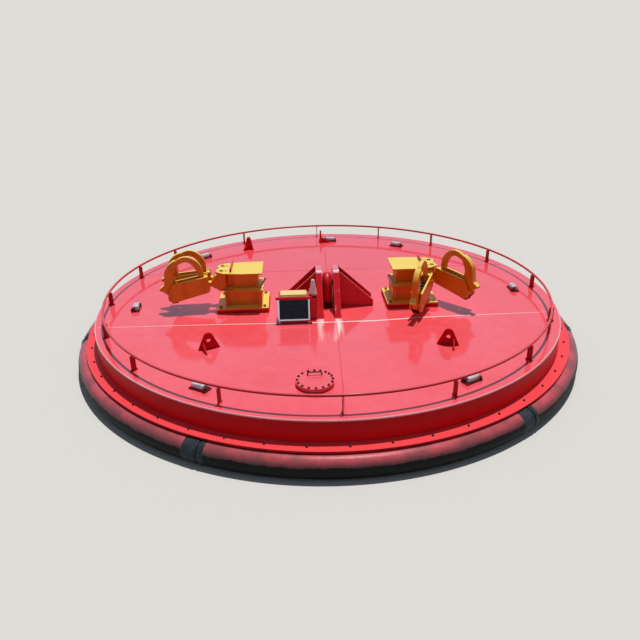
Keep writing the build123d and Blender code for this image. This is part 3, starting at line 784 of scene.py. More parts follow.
class Materials:
    """The finished materials, made once each."""

    def __init__(self) -> None:
        """Builds every finish."""
        self.by_slot = {slot: finish.build() for slot, finish in FINISHES.items()}

    def paint_nodes(self) -> None:
        """Gives each CAD node its own finish, or its plain material's, and rounds the cheeks."""
        for name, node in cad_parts.items():
            if name.startswith("bracket_cheek"):
                rounding = node.modifiers.new("rounding", "BEVEL")
                rounding.width, rounding.segments = CHEEK_ROUNDING, CHEEK_STEPS
                rounding.limit_method = "ANGLE"
            for place in node.material_slots:
                place.material = self.by_slot[NODE_FINISHES.get(name, place.material.name)]


@dataclass
class Axes:
    """A place in the frame: an origin and three directions."""

    origin: Array
    x: Array
    y: Array
    z: Array

    def put(self, points: Array) -> Array:
        """Points given along these axes, as points of the frame."""
        x, y, z = points[..., 0:1], points[..., 1:2], points[..., 2:3]
        return self.origin + x * self.x + y * self.y + z * self.z

    def moved(self, x: float, y: float, z: float) -> "Axes":
        """The same directions from a point given along these axes."""
        return Axes(self.put(np.array([x, y, z], float)), self.x, self.y, self.z)


def upward(x: float, y: float, z: float, heading: float = 0.0) -> Axes:
    """Axes that stand at a point, with z up.

    Args:
        x: The point's X.
        y: The point's Y.
        z: The point's height.
        heading: Heading of the axes' own x.

    Returns:
        The axes.
    """
    h = math.radians(heading)
    return Axes(
        np.array([x, y, z], float),
        np.array([math.cos(h), math.sin(h), 0]),
        np.array([-math.sin(h), math.cos(h), 0]),
        np.array([0.0, 0, 1]),
    )


def on_deck(bearing: float, inset_by: float) -> tuple[float, float]:
    """Plan position on the deck at a bearing, inset from the deck's edge."""
    turn = math.radians(bearing)
    return (HULL_RADIUS - inset_by) * math.cos(turn), (HULL_RADIUS - inset_by) * math.sin(turn)


def facing(origin: Any, out: Any) -> Axes:
    """Axes at a point, whose x is level, or square to X where z is nearly upright.

    Args:
        origin: The point.
        out: Direction of the axes' own z.

    Returns:
        The axes.
    """
    z = unit(out)
    side = np.array([0, 0, 1.0]) if abs(z[2]) < 0.9 else np.array([1.0, 0, 0])
    x = unit(np.cross(side, z))
    return Axes(np.asarray(origin, float), x, np.cross(z, x), z)


def lathe(profile: Any, sides: int) -> Array:
    """Turns a profile of (radius, height) pairs about z.

    The point at share v of the turn is (r cos, r sin, h) of the angle 2 pi v.

    Args:
        profile: The pairs, which run up the outside.
        sides: Points in one turn.

    Returns:
        Grid of points, profile by turn.
    """
    profile = np.asarray(profile, float)
    angle = np.linspace(0, FULL_TURN, sides, endpoint=False)
    radius, height = profile[:, 0:1], profile[:, 1:2]
    return np.stack([radius * np.cos(angle), radius * np.sin(angle), height + 0 * angle], axis=-1)


def inset(outline: Array, distance: float) -> Array:
    """Moves each corner of an outline inwards, along the mean of its two edges' normals.

    Args:
        outline: Corners (x, y), anticlockwise.
        distance: How far each edge moves.

    Returns:
        The smaller outline.
    """
    ahead = unit(np.roll(outline, -1, axis=0) - outline)
    both = ahead + np.roll(ahead, 1, axis=0)
    normal = unit(np.stack([-both[:, 1], both[:, 0]], axis=-1))
    square = np.stack([-ahead[:, 1], ahead[:, 0]], axis=-1)
    share = np.clip((normal * square).sum(axis=1), 0.4, 1)
    return outline + normal * (distance / share)[:, None]


def slab(outline: Any, low: float, high: float, bevel: float = 0.002) -> Array:
    """Carries an outline from low to high along z, with chamfered rims.

    Args:
        outline: Corners (x, y), anticlockwise.
        low: Height of the bottom.
        high: Height of the top.
        bevel: Width of the chamfers.

    Returns:
        Grid of points, four rows by the corners.
    """
    outline = np.asarray(outline, float)
    small = inset(outline, bevel)
    rows = ((small, low), (outline, low + bevel), (outline, high - bevel), (small, high))
    return np.stack([np.column_stack([flat, np.full(len(flat), height)]) for flat, height in rows])


def ring_outline(sides: int, radius: float) -> Array:
    """Corners of a regular polygon round the origin."""
    angle = np.linspace(0, FULL_TURN, sides, endpoint=False)
    return radius * np.column_stack([np.cos(angle), np.sin(angle)])


def plate_outline(length: float, width: float, corner: float = 0.004, steps: int = 3) -> Array:
    """Rectangle round the origin, with a quarter arc about each corner's own centre.

    Args:
        length: Size along x.
        width: Size along y.
        corner: Radius of the corners.
        steps: Points in each arc.

    Returns:
        Corners (x, y), anticlockwise.
    """
    quarter = np.linspace(0, math.pi / 2, steps)
    reach = np.array([length / 2 - corner, width / 2 - corner])
    middles = np.array([(1, 1), (-1, 1), (-1, -1), (1, -1)]) * reach
    angle = quarter[None, :] + np.arange(4)[:, None] * math.pi / 2
    arcs = middles[:, None, :] + corner * np.stack([np.cos(angle), np.sin(angle)], axis=-1)
    return arcs.reshape(-1, 2)


def tube(
    path: Array, radius: Any, sides: int = 12, closed: bool = False, flatten: float = 1.0
) -> Array:
    """Carries a circle along a path, square to it.

    The circle's first axis lies level where the path allows, and the second is flattened.

    Args:
        path: Points along the middle.
        radius: One radius, or one for each point.
        sides: Points in one turn of the circle.
        closed: Whether the path meets itself.
        flatten: Height of the section over its width.

    Returns:
        Grid of points, path by turn.
    """
    if closed:
        along = np.roll(path, -1, axis=0) - np.roll(path, 1, axis=0)
    else:
        along = np.gradient(path, axis=0)
    along = unit(along)
    steep = np.abs(along[:, 2:3]) > 0.95
    guide = np.where(steep, np.array([0.0, 1, 0]), np.array([0.0, 0, 1]))
    side = unit(np.cross(along, guide))
    over = np.cross(side, along)
    angle = np.linspace(0, FULL_TURN, sides, endpoint=False)
    size = np.broadcast_to(np.asarray(radius, float).reshape(-1, 1, 1), (len(path), 1, 1))
    across = np.cos(angle)[None, :, None] * side[:, None, :]
    rise = flatten * np.sin(angle)[None, :, None] * over[:, None, :]
    return path[:, None, :] + size * (across + rise)


def circle_path(
    centre: Any, radius: float, steps: int, start: float = 0.0, stop: float = 360.0
) -> Array:
    """Evenly spaced points round an upright axis.

    Args:
        centre: Middle of the circle.
        radius: Its radius.
        steps: Number of points.
        start: First heading.
        stop: Last heading, which a whole turn leaves out.

    Returns:
        The points.
    """
    whole = abs(stop - start) >= 360
    angle = np.radians(np.linspace(start, stop, steps, endpoint=not whole))
    x, y, z = centre
    across, back = x + radius * np.cos(angle), y + radius * np.sin(angle)
    return np.column_stack([across, back, np.full(steps, z)])


def line_path(start: Any, end: Any, pitch: float) -> Array:
    """Evenly spaced points on a straight line.

    Args:
        start: First point.
        end: Last point.
        pitch: Rough distance between points.

    Returns:
        The points.
    """
    start, end = np.asarray(start, float), np.asarray(end, float)
    steps = max(2, int(np.linalg.norm(end - start) / pitch) + 1)
    return start + np.linspace(0, 1, steps)[:, None] * (end - start)


def weld(path: Array, radius: float, closed: bool = False, flatten: float = 0.6) -> Array:
    """Weld bead: a flattened tube whose radius is rippled by a short and a long sine.

    Args:
        path: Points along the bead.
        radius: Its mean radius.
        closed: Whether the path meets itself.
        flatten: Height of the section over its width.

    Returns:
        Grid of points, path by turn.
    """
    step = np.arange(len(path))
    ripple = 1 + 0.10 * np.sin(step * 2.1) + 0.05 * np.sin(step * 0.37)
    return tube(path, radius * ripple, 6, closed, flatten)


def straight_weld(start: Any, stop: Any, radius: float, flatten: float = 0.6) -> Array:
    """Weld bead on a straight line, with a point about every 20 mm."""
    return weld(line_path(start, stop, 0.02), radius, flatten=flatten)


def plate_weld(
    axes: Axes, length: float, width: float, corner: float, radius: float, flatten: float
) -> Array:
    """Weld bead round the foot of a plate.

    Args:
        axes: Middle of the foot, with z up.
        length: Length of the bead's own line.
        width: Width of that line.
        corner: Radius of its corners.
        radius: Mean radius of the bead.
        flatten: Height of the section over its width.

    Returns:
        Grid of points, path by turn.
    """
    outline = plate_outline(length, width, corner, 4)
    foot = np.column_stack([outline, np.zeros(len(outline))])
    return weld(axes.put(foot), radius, True, flatten)


class Solids:
    """Closed surfaces gathered into the mesh of one piece."""

    def __init__(self) -> None:
        """Starts empty."""
        self.points: list[Array] = []
        self.faces: list[list[int]] = []
        self.count = 0

    def add(self, grid: Array, axes: Axes | None = None, closed: bool = False) -> "Solids":
        """Joins a grid of points into quads, wrapped round its second direction.

        Args:
            grid: Points, rows by columns.
            axes: Where the grid's own axes lie. None leaves it as it is.
            closed: Whether the last row meets the first. Otherwise each end has a flat cap.

        Returns:
            Itself.
        """
        rows, columns = grid.shape[:2]
        index = np.arange(rows * columns).reshape(rows, columns) + self.count
        wrapped = np.concatenate([index, index[:, :1]], axis=1)
        if closed:
            wrapped = np.concatenate([wrapped, wrapped[:1]], axis=0)
        left, right = wrapped[:, :-1], wrapped[:, 1:]
        quads = np.stack([left[:-1], right[:-1], right[1:], left[1:]], axis=-1)
        self.faces += quads.reshape(-1, 4).tolist()
        if not closed:
            self.faces += [index[0, ::-1].tolist(), index[-1].tolist()]
        self.points.append((axes.put(grid) if axes else grid).reshape(-1, 3))
        self.count += rows * columns
        return self

    def piece(
        self, name: str, slot: str, body: str, sharp: float = 32.0, finish: str = ""
    ) -> bpy.types.Object:
        """Makes the piece, which rides on its body.

        Args:
            name: Name of the piece.
            slot: Material slot of the record, which names its finish.
            body: CAD body that it moves with.
            sharp: Angle in degrees over which an edge stays sharp.
            finish: Name of the finish, where it isn't the slot's.

        Returns:
            The piece's object.
        """
        mesh = bpy.data.meshes.new(name)
        mesh.from_pydata(np.concatenate(self.points), [], self.faces)
        work = bmesh.new()
        work.from_mesh(mesh)
        bmesh.ops.remove_doubles(work, verts=work.verts, dist=1e-6)
        bmesh.ops.dissolve_degenerate(work, edges=work.edges, dist=1e-7)
        bmesh.ops.recalc_face_normals(work, faces=work.faces)
        work.to_mesh(mesh)
        work.free()
        mesh.shade_smooth()
        mesh.set_sharp_from_angle(angle=math.radians(sharp))
        mesh.materials.append(bpy.data.materials[f"{finish or slot}_finish"])
        thing = bpy.data.objects.new(name, mesh)
        bpy.context.scene.collection.objects.link(thing)
        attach(thing, body)
        LOG.info("%s: %d faces, %s, on %s", name, len(mesh.polygons), slot, body)
        return thing


def add_bolt(
    solids: Solids, axes: Axes, across: float, height: float, washer: float = 0.0
) -> None:
    """Adds a hexagon head on a washer, with the bolt's end standing out of it.

    Args:
        solids: Where it goes.
        axes: The seat's place, with z out of it.
        across: Width over the head's corners.
        height: Height of the head.
        washer: Thickness of the washer.
    """
    if washer:
        solids.add(slab(ring_outline(16, across * 0.62), -0.001, washer, washer * 0.25), axes)
    top = washer + height
    solids.add(slab(ring_outline(6, across / 2), washer - 0.0005, top, across * 0.05), axes)
    stud = ((across * 0.24, top - 0.001), (across * 0.24, washer + height * 1.45),
            (across * 0.18, washer + height * 1.6))
    solids.add(lathe(stud, 10), axes)


@dataclass
class Hull:
    """Welds and studs of the deck and the side."""

    radius: float = HULL_RADIUS
    bracket_y: float = -0.295
    hawse_radius: float = 0.23
    flange_top: float = 1.438
    lower_flange_top: float = 1.056
    stud_ring: float = 3.912
    stud_count: int = 48
    first_stud: float = 0.8
    rear_seam_y: float = 1.38
    front_seam: tuple[tuple[float, float], ...] = (
        (-3.66, -0.975), (-1.85, -1.01), (-0.2, -1.065), (0.72, -1.07), (1.5, -1.0),
        (3.66, -0.955))
    front_seam_radii: tuple[float, ...] = (0.005, 0.008, 0.012, 0.016, 0.012, 0.004)
    rear_middle_seam: tuple[tuple[float, float], ...] = ((0.07, 0.45), (0.126, 3.3))
    front_middle_seam: tuple[tuple[float, float], ...] = (
        (0.10, -1.11), (0.055, -2.54), (0.015, -3.78))
    seam_pitch: float = 0.035

    def seam(self, corners: Any, radius: Any) -> Array:
        """Weld bead on the deck: a flat tube on a bent line, whose radius ripples by a tenth.

        Args:
            corners: Corners (x, y) of the line.
            radius: One radius, or one for each corner.

        Returns:
            Grid of points, line by turn.
        """
        corners = np.asarray(corners, float)
        lengths = np.linalg.norm(np.diff(corners, axis=0), axis=1)
        run = np.concatenate([[0.0], np.cumsum(lengths)])
        spots = np.linspace(0, run[-1], int(run[-1] / self.seam_pitch))
        x, y = (np.interp(spots, run, corners[:, axis]) for axis in (0, 1))
        width = np.interp(spots, run, np.broadcast_to(radius, len(corners)))
        ripple = 1 + 0.10 * np.sin(np.arange(len(spots)) * 2.1)
        path = np.column_stack([x, y, np.full(len(spots), DECK)])
        return tube(path, width * ripple, 6, flatten=0.35)

    def ring_weld(self, radius: float, height: float, size: float) -> Array:
        """Bead of a size all round the hull, at a radius and a height."""
        return weld(circle_path((0, 0, height), radius, 720), size, True, 1.0)

    def build(self) -> None:
        """Makes the welds, studs and the mouth of the hawse pipe."""
        half, y = math.sqrt(self.radius**2 - self.rear_seam_y**2) - 0.03, self.rear_seam_y
        front = Solids().add(self.seam(self.front_seam, self.front_seam_radii))
        front.piece("front_deck_seam", "anode_metal", "buoy", finish="seam_filler")
        seams = Solids()
        seams.add(self.seam(((-half, y), (half, y)), 0.007))
        seams.add(self.seam(self.rear_middle_seam, 0.007))
        seams.add(self.seam(self.front_middle_seam, 0.006))
        seams.piece("deck_seams", "deck_paint", "buoy", finish="seam_paint")
        rim = Solids()
        rim.add(self.ring_weld(self.radius - 0.006, DECK - 0.006, 0.0115), closed=True)
        # The rim bead is painted pale, as a painted highlight along the deck's edge.
        rim.piece("deck_rim_weld", "deck_paint", "buoy", finish="rim_highlight_paint")
        corner = Solids()
        for height in (self.flange_top, self.lower_flange_top):
            corner.add(self.ring_weld(self.radius + 0.003, height, 0.012), closed=True)
        corner.piece("flange_welds", "hull_paint", "buoy", finish="hull_paint_weld")
        studs = Solids()
        for heading in np.arange(self.stud_count) * 360 / self.stud_count + self.first_stud:
            turn = math.radians(heading)
            x, y = self.stud_ring * math.cos(turn), self.stud_ring * math.sin(turn)
            add_bolt(studs, upward(x, y, self.flange_top, heading), 0.028, 0.014, 0.003)
        studs.piece("flange_studs", "pin_steel", "buoy", finish="stud_steel")
        mouth = Solids()
        ring = circle_path((0, self.bracket_y, DECK), self.hawse_radius + 0.004, 120)
        mouth.add(weld(ring, 0.012, True, 0.8), closed=True)
        mouth.piece("hawse_mouth_weld", "bracket_paint", "buoy", finish="bracket_paint_weld")


@dataclass
class Fender:
    """Bands, bolts and dark cores at the fender's joints.

    Attributes:
        headings: Headings of the joints.
        centre_radius: Radius of the tube's centre line.
        centre_height: Height of the centre line.
        tube_radius: Radius of the tube.
        gap: Gap between two segments.
        wrap: How far before the gap the wide wrap starts.
        wrap_inset: How far before the gap it ends.
        wrap_swell: What the wrap's middle has over the tube.
        bands: Lengths of the narrow bands before and after the gap.
        band_swell: What their middles have over the tube.
        bolt_places: Distances of the bolts from the gap, before and after it.
        bolt_tilts: How far up the bolts look, in degrees.
        bolt_size: Width and height of a bolt's head.
    """

    headings: tuple[float, ...] = (-171.9, -115.7, -52.5, -10.1, 46, 104, 146)
    centre_radius: float = 3.9853
    centre_height: float = 1.233
    tube_radius: float = 0.16
    gap: float = 0.025
    wrap: float = 0.2
    wrap_inset: float = 0.012
    wrap_swell: float = 0.0025
    bands: tuple[float, float] = (0.055, 0.045)
    band_swell: float = 0.005
    bolt_places: tuple[float, float] = (0.028, 0.022)
    bolt_tilts: tuple[float, ...] = (35, 75, 112)
    bolt_size: tuple[float, float] = (0.026, 0.008)

    def turn_of(self, length: float) -> float:
        """Degrees that a length takes along the centre line."""
        return math.degrees(length / self.centre_radius)

    def sleeve(self, start: float, stop: float, radius: float, swell: float) -> Array:
        """Short tube along the centre line, whose radius rises by a quarter sine over its ends.

        Args:
            start: First heading.
            stop: Last heading.
            radius: Radius of its ends.
            swell: What its middle has more.

        Returns:
            Grid of points, line by turn.
        """
        steps = 15
        path = circle_path((0, 0, self.centre_height), self.centre_radius, steps, start, stop)
        ends = np.minimum(np.linspace(0, 1, steps), np.linspace(1, 0, steps)) * 6
        return tube(path, radius + swell * np.sin(np.clip(ends, 0, 1) * math.pi / 2), 56)

    def build(self) -> None:
        """Makes the bands and their bolts, and the dark cores in the gaps."""
        bands, cores, bolts = Solids(), Solids(), Solids()
        size, turn_of = self.tube_radius, self.turn_of
        near, far = self.bolt_places
        for heading in self.headings:
            half = turn_of(self.gap / 2)
            before, after = heading - half, heading + half
            wrap, wrap_end = before - turn_of(self.wrap), before - turn_of(self.wrap_inset)
            bands.add(self.sleeve(wrap, wrap_end, size, self.wrap_swell))
            first, last = before - turn_of(self.bands[0]), after + turn_of(self.bands[1])
            bands.add(self.sleeve(first, before, size, self.band_swell))
            bands.add(self.sleeve(after, last, size, self.band_swell))
            cores.add(self.sleeve(before - 0.02, after + 0.02, size * 0.96, 0.0))
            for angle in (before - turn_of(near), after + turn_of(far)):
                turn = math.radians(angle)
                ahead = np.array([math.cos(turn), math.sin(turn), 0])
                middle = ahead * self.centre_radius + np.array([0, 0, self.centre_height])
                for lean in np.radians(self.bolt_tilts):
                    out = ahead * math.cos(lean) + np.array([0, 0, math.sin(lean)])
                    add_bolt(bolts, facing(middle + out * (size + 0.004), out), *self.bolt_size)
        bands.piece("fender_bands", "wrap_rubber", "buoy")
        cores.piece("fender_joint_cores", "wrap_rubber", "buoy", finish="groove_rubber")
        bolts.piece("fender_band_bolts", "pin_steel", "buoy", finish="stud_steel")


@dataclass
class Rail:
    """Welds at the heads and feet of the rail's posts, and the sleeves on its pipe."""

    radius: float = 3.668
    height: float = 0.245
    pipe: float = 0.019
    headings: tuple[float, ...] = (
        2.2, 25.8, 48.7, 68.1, 90.1, 116.4, 143.5, 160,
        181, 201.7, 221.4, 245.8, 269.8, 292.5, 316.1, 339.2)
    post: float = 0.074
    foot: float = 0.105
    sleeves: int = 8
    first_sleeve: float = 9.0

    def build(self) -> None:
        """Makes the post welds and the pipe's joint sleeves."""
        welds, sleeves = Solids(), Solids()
        for heading in self.headings:
            turn = math.radians(heading)
            x, y = self.radius * math.cos(turn), self.radius * math.sin(turn)
            foot = upward(x, y, DECK, heading)
            head = foot.moved(0, 0, self.height - self.pipe - 0.003)
            welds.add(plate_weld(foot, self.foot + 0.006, 0.018, 0.006, 0.005, 0.8), closed=True)
            welds.add(plate_weld(head, self.post + 0.002, 0.016, 0.006, 0.004, 0.8), closed=True)
        for heading in np.arange(self.sleeves) * 360 / self.sleeves + self.first_sleeve:
            path = circle_path((0, 0, DECK + self.height), self.radius, 3, heading, heading + 0.12)
            sleeves.add(tube(path, self.pipe + 0.0015, 20))
        welds.piece("rail_post_welds", "rail_paint", "buoy", finish="rail_paint_weld")
        sleeves.piece("rail_pipe_joints", "rail_paint", "buoy")


@dataclass
class Manhole:
    """Bolts, gasket and weld of the manhole."""

    x: float = -0.314
    y: float = -2.96
    neck: float = 0.215
    flange: float = 0.254
    seat: float = 1.814
    split: float = 1.796
    bolt_ring: float = 0.231
    headings: tuple[float, ...] = (
        90, 70, 51, 35, 19, 0, -20, -43, -66, -89, -112, -137, -160, 180, 156, 134, 111)

    def build(self) -> None:
        """Makes the bolts with their nuts below the flange, the gasket and the foot weld."""
        bolts = Solids()
        for heading in self.headings:
            turn = math.radians(heading)
            x = self.x + self.bolt_ring * math.cos(turn)
            y = self.y + self.bolt_ring * math.sin(turn)
            add_bolt(bolts, upward(x, y, self.seat, heading), 0.032, 0.012, 0.003)
            below = facing((x, y, self.split - 0.018), (0, 0, -1))
            bolts.add(slab(ring_outline(6, 0.015), -0.001, 0.009, 0.001), below)
        bolts.piece("manhole_bolts", "pin_steel", "buoy", finish="manhole_stud")
        gasket = Solids()
        inner, outer, half = self.flange - 0.01, self.flange + 0.0006, 0.0015
        edge = ((inner, -half), (outer, -half), (outer, half), (inner, half))
        gasket.add(lathe(edge, 96), upward(self.x, self.y, self.split), closed=True)
        gasket.piece("manhole_gasket", "wrap_rubber", "buoy")
        foot = Solids()
        ring = circle_path((self.x, self.y, DECK), self.neck + 0.003, 110)
        foot.add(weld(ring, 0.007, True, 0.9), closed=True)
        foot.piece("manhole_foot_weld", "deck_paint", "buoy", finish="deck_paint_weld")


@dataclass
class Bracket:
    """Welds, pin ends and pin collars of the central mooring bracket."""

    y: float = -0.295
    gap: float = 0.184
    cheek: float = 0.097
    foot: float = 0.636
    gusset_reach: float = 0.571
    gusset_height: float = 0.625
    gusset_face: float = 0.017
    gusset_spacing: float = 0.29
    pin_height: float = 2.1207
    pin_radius: float = 0.045
    collar_bolts: float = 0.056

    def build(self) -> None:
        """Makes the weld beads, the pin's end plates and its bolted collars."""
        inner, outer = self.gap / 2, self.gap / 2 + self.cheek
        welds = Solids()
        for side in (-1, 1):
            for x in (inner - 0.002, outer + 0.002):
                start = (side * x, self.y - self.foot, DECK)
                welds.add(straight_weld(start, (side * x, self.y + self.foot, DECK), 0.011))
            for end in (-1, 1):
                y = self.y + end * (self.foot + 0.002)
                welds.add(straight_weld((side * inner, y, DECK), (side * outer, y, DECK), 0.011))
                for face in (-self.gusset_face, self.gusset_face):
                    y = self.y + end * self.gusset_spacing / 2 + face
                    toe = (side * (outer + self.gusset_reach), y, DECK)
                    welds.add(straight_weld((side * outer, y, DECK), toe, 0.008))
                    heel = (side * (outer + 0.002), y, DECK)
                    top = (side * (outer + 0.002), y, DECK + self.gusset_height)
                    welds.add(straight_weld(heel, top, 0.007, 1.0))
        welds.piece("bracket_welds", "bracket_paint", "buoy", finish="bracket_paint_weld")
        keepers, bolts = Solids(), Solids()
        for side in (-1, 1):
            end = facing((side * (outer + 0.0305), self.y, self.pin_height), (side, 0, 0))
            cap = ((0.0, -0.006), (0.043, -0.006), (0.043, 0.0), (0.036, 0.004), (0.0, 0.004))
            keepers.add(lathe(cap, 40), end)
            collar = facing((side * outer, self.y, self.pin_height), (side, 0, 0))
            hole, rim = self.pin_radius - 0.002, self.pin_radius + 0.018
            ring = ((hole, 0.0), (rim, 0.0), (rim, 0.010), (rim - 0.006, 0.014), (hole, 0.014))
            keepers.add(lathe(ring, 48), collar, closed=True)
            for angle in np.radians([45, 135, 225, 315]):
                x, y = self.collar_bolts * math.cos(angle), self.collar_bolts * math.sin(angle)
                add_bolt(bolts, collar.moved(x, y, 0.012), 0.014, 0.006)
        keepers.piece("bracket_pin_collars", "bracket_paint", "buoy")
        bolts.piece("bracket_collar_bolts", "pin_steel", "buoy")


@dataclass
class LiftingLugs:
    """Foot welds and worn eye rings of the four lifting lugs."""

    places: tuple[tuple[float, float, float, int], ...] = (
        (225.47, 1.248, 20, -1), (309.82, 1.241, -16, 1), (117.23, 0.547, -58, 1),
        (88.94, 0.569, 89, -1))
    half_width: float = 0.15
    thickness: float = 0.036
    hole_radius: float = 0.033
    hole_height: float = 0.13
    web_place: float = 0.084
    web_face: float = 0.012
    web_reach: float = 0.165

    def build(self) -> None:
        """Makes the welds and the rings."""
        length, width = 2 * self.half_width + 0.008, self.thickness + 0.008
        hole = self.hole_radius
        bead = ((hole + 0.0005, 0.0), (hole + 0.010, 0.0), (hole + 0.0085, 0.003),
                (hole + 0.002, 0.003))
        welds, rings = Solids(), Solids()
        for bearing, inset_by, heading, side in self.places:
            stand = upward(*on_deck(bearing, inset_by), DECK, heading)
            welds.add(plate_weld(stand, length, width, 0.008, 0.009, 0.9), closed=True)
            for face in (-self.web_face, self.web_face):
                start = np.array([side * self.web_place + face, -self.thickness / 2, 0.0])
                stop = start + np.array([0, -self.web_reach, 0])
                welds.add(weld(stand.put(line_path(start, stop, 0.014)), 0.006))
            for way in (-1, 1):
                eye = stand.moved(0, way * (self.thickness / 2 - 0.001), self.hole_height)
                rings.add(lathe(bead, 40), facing(eye.origin, stand.y * way), closed=True)
        welds.piece("lug_foot_welds", "bracket_paint", "buoy", finish="lug_paint")
        rings.piece("lug_eye_rings", "bracket_paint", "buoy", finish="lug_paint")


@dataclass
class DeckLights:
    """Ribbed lenses, end caps, reflectors and screws of the deck lights."""

    places: tuple[tuple[float, float], ...] = (
        (239, 0.349), (299.3, 0.336), (1.1, 0.520), (58.8, 0.596), (85.2, 0.539), (135.5, 0.489),
        (185, 0.608))
    base: float = 0.018
    length: float = 0.242
    width: float = 0.1
    height: float = 0.072
    cap: float = 0.028
    screw: tuple[float, float] = (0.127, 0.056)

    def section(self, share: float, steps: int) -> Array:
        """Section across a light: the upper half of a superellipse of power 5.

        Args:
            share: Size in shares of the light's own.
            steps: Number of points.

        Returns:
            Points (across, up), from +across to -across.
        """
        angle = np.linspace(0, math.pi, steps)
        across = np.sign(np.cos(angle)) * np.abs(np.cos(angle)) ** 0.4
        up = self.height * np.sin(angle) ** 0.4
        return np.column_stack([across * self.width / 2, up]) * share

    def lens(self) -> Array:
        """Lens shell along x, whose section shrinks by a small cosine ripple between its ribs.

        Returns:
            Grid of points, length by section.
        """
        steps, sides = 57, 28
        reach = self.length / 2 - self.cap
        along = np.linspace(-reach, reach, steps)
        ripple = 0.972 - 0.022 * (1 - np.cos(np.linspace(0, 20 * math.pi, steps))) / 2
        flat = self.section(1.0, sides)
        x = np.repeat(along[:, None], sides, axis=1)
        y, z = (flat[None, :, axis] * ripple[:, None] for axis in (0, 1))
        return np.stack([x, y, z], axis=-1)

    def build(self) -> None:
        """Makes the lenses, which stand for the plain CAD ones, and what holds them."""
        lenses, trays, caps, screws = Solids(), Solids(), Solids(), Solids()
        tray = slab(plate_outline(self.length - 0.06, self.width - 0.03), 0.001, 0.012, 0.001)
        skirt = slab(plate_outline(self.length - 0.01, 0.008, 0.003), -0.001, 0.014, 0.002)
        bulb = lathe(((0.006, 0.012), (0.012, 0.030), (0.010, 0.033), (0.0, 0.018)), 16)
        screw = lathe(((0.006, -0.001), (0.006, 0.002), (0.004, 0.004), (0.0, 0.004)), 14)
        for bearing, inset_by in self.places:
            stand = upward(*on_deck(bearing, inset_by), DECK + self.base, bearing + 90)
            lenses.add(self.lens(), stand)
            trays.add(tray, stand)
            for side in (-1, 1):
                caps.add(skirt, stand.moved(0, side * (self.width / 2 + 0.001), 0))
            for spot in np.linspace(-0.075, 0.075, 5):
                trays.add(bulb, stand.moved(spot, 0, 0))
            for end in (-1, 1):
                face = facing(stand.moved(end * self.length / 2, 0, 0).origin, stand.x * end)
                up = 1 if face.x[2] > 0 else -1
                flat = self.section(0.998, 24)
                outline = np.column_stack([flat[:, 1] * up, flat[:, 0] * up])[::-1]
                caps.add(slab(outline, -self.cap, 0.0, 0.004), face)
                for corner in (-self.screw[1], self.screw[1]):
                    screws.add(screw, stand.moved(end * self.screw[0], corner, 0))
        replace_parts(lenses.piece("light_lenses", "light_lens", "buoy", 50), "deck_light_lenses")
        trays.piece("light_reflectors", "frame_aluminium", "buoy")
        caps.piece("light_end_caps", "rail_paint", "buoy", finish="dark_and_shade_paint")
        screws.piece("light_screws", "pin_steel", "buoy")


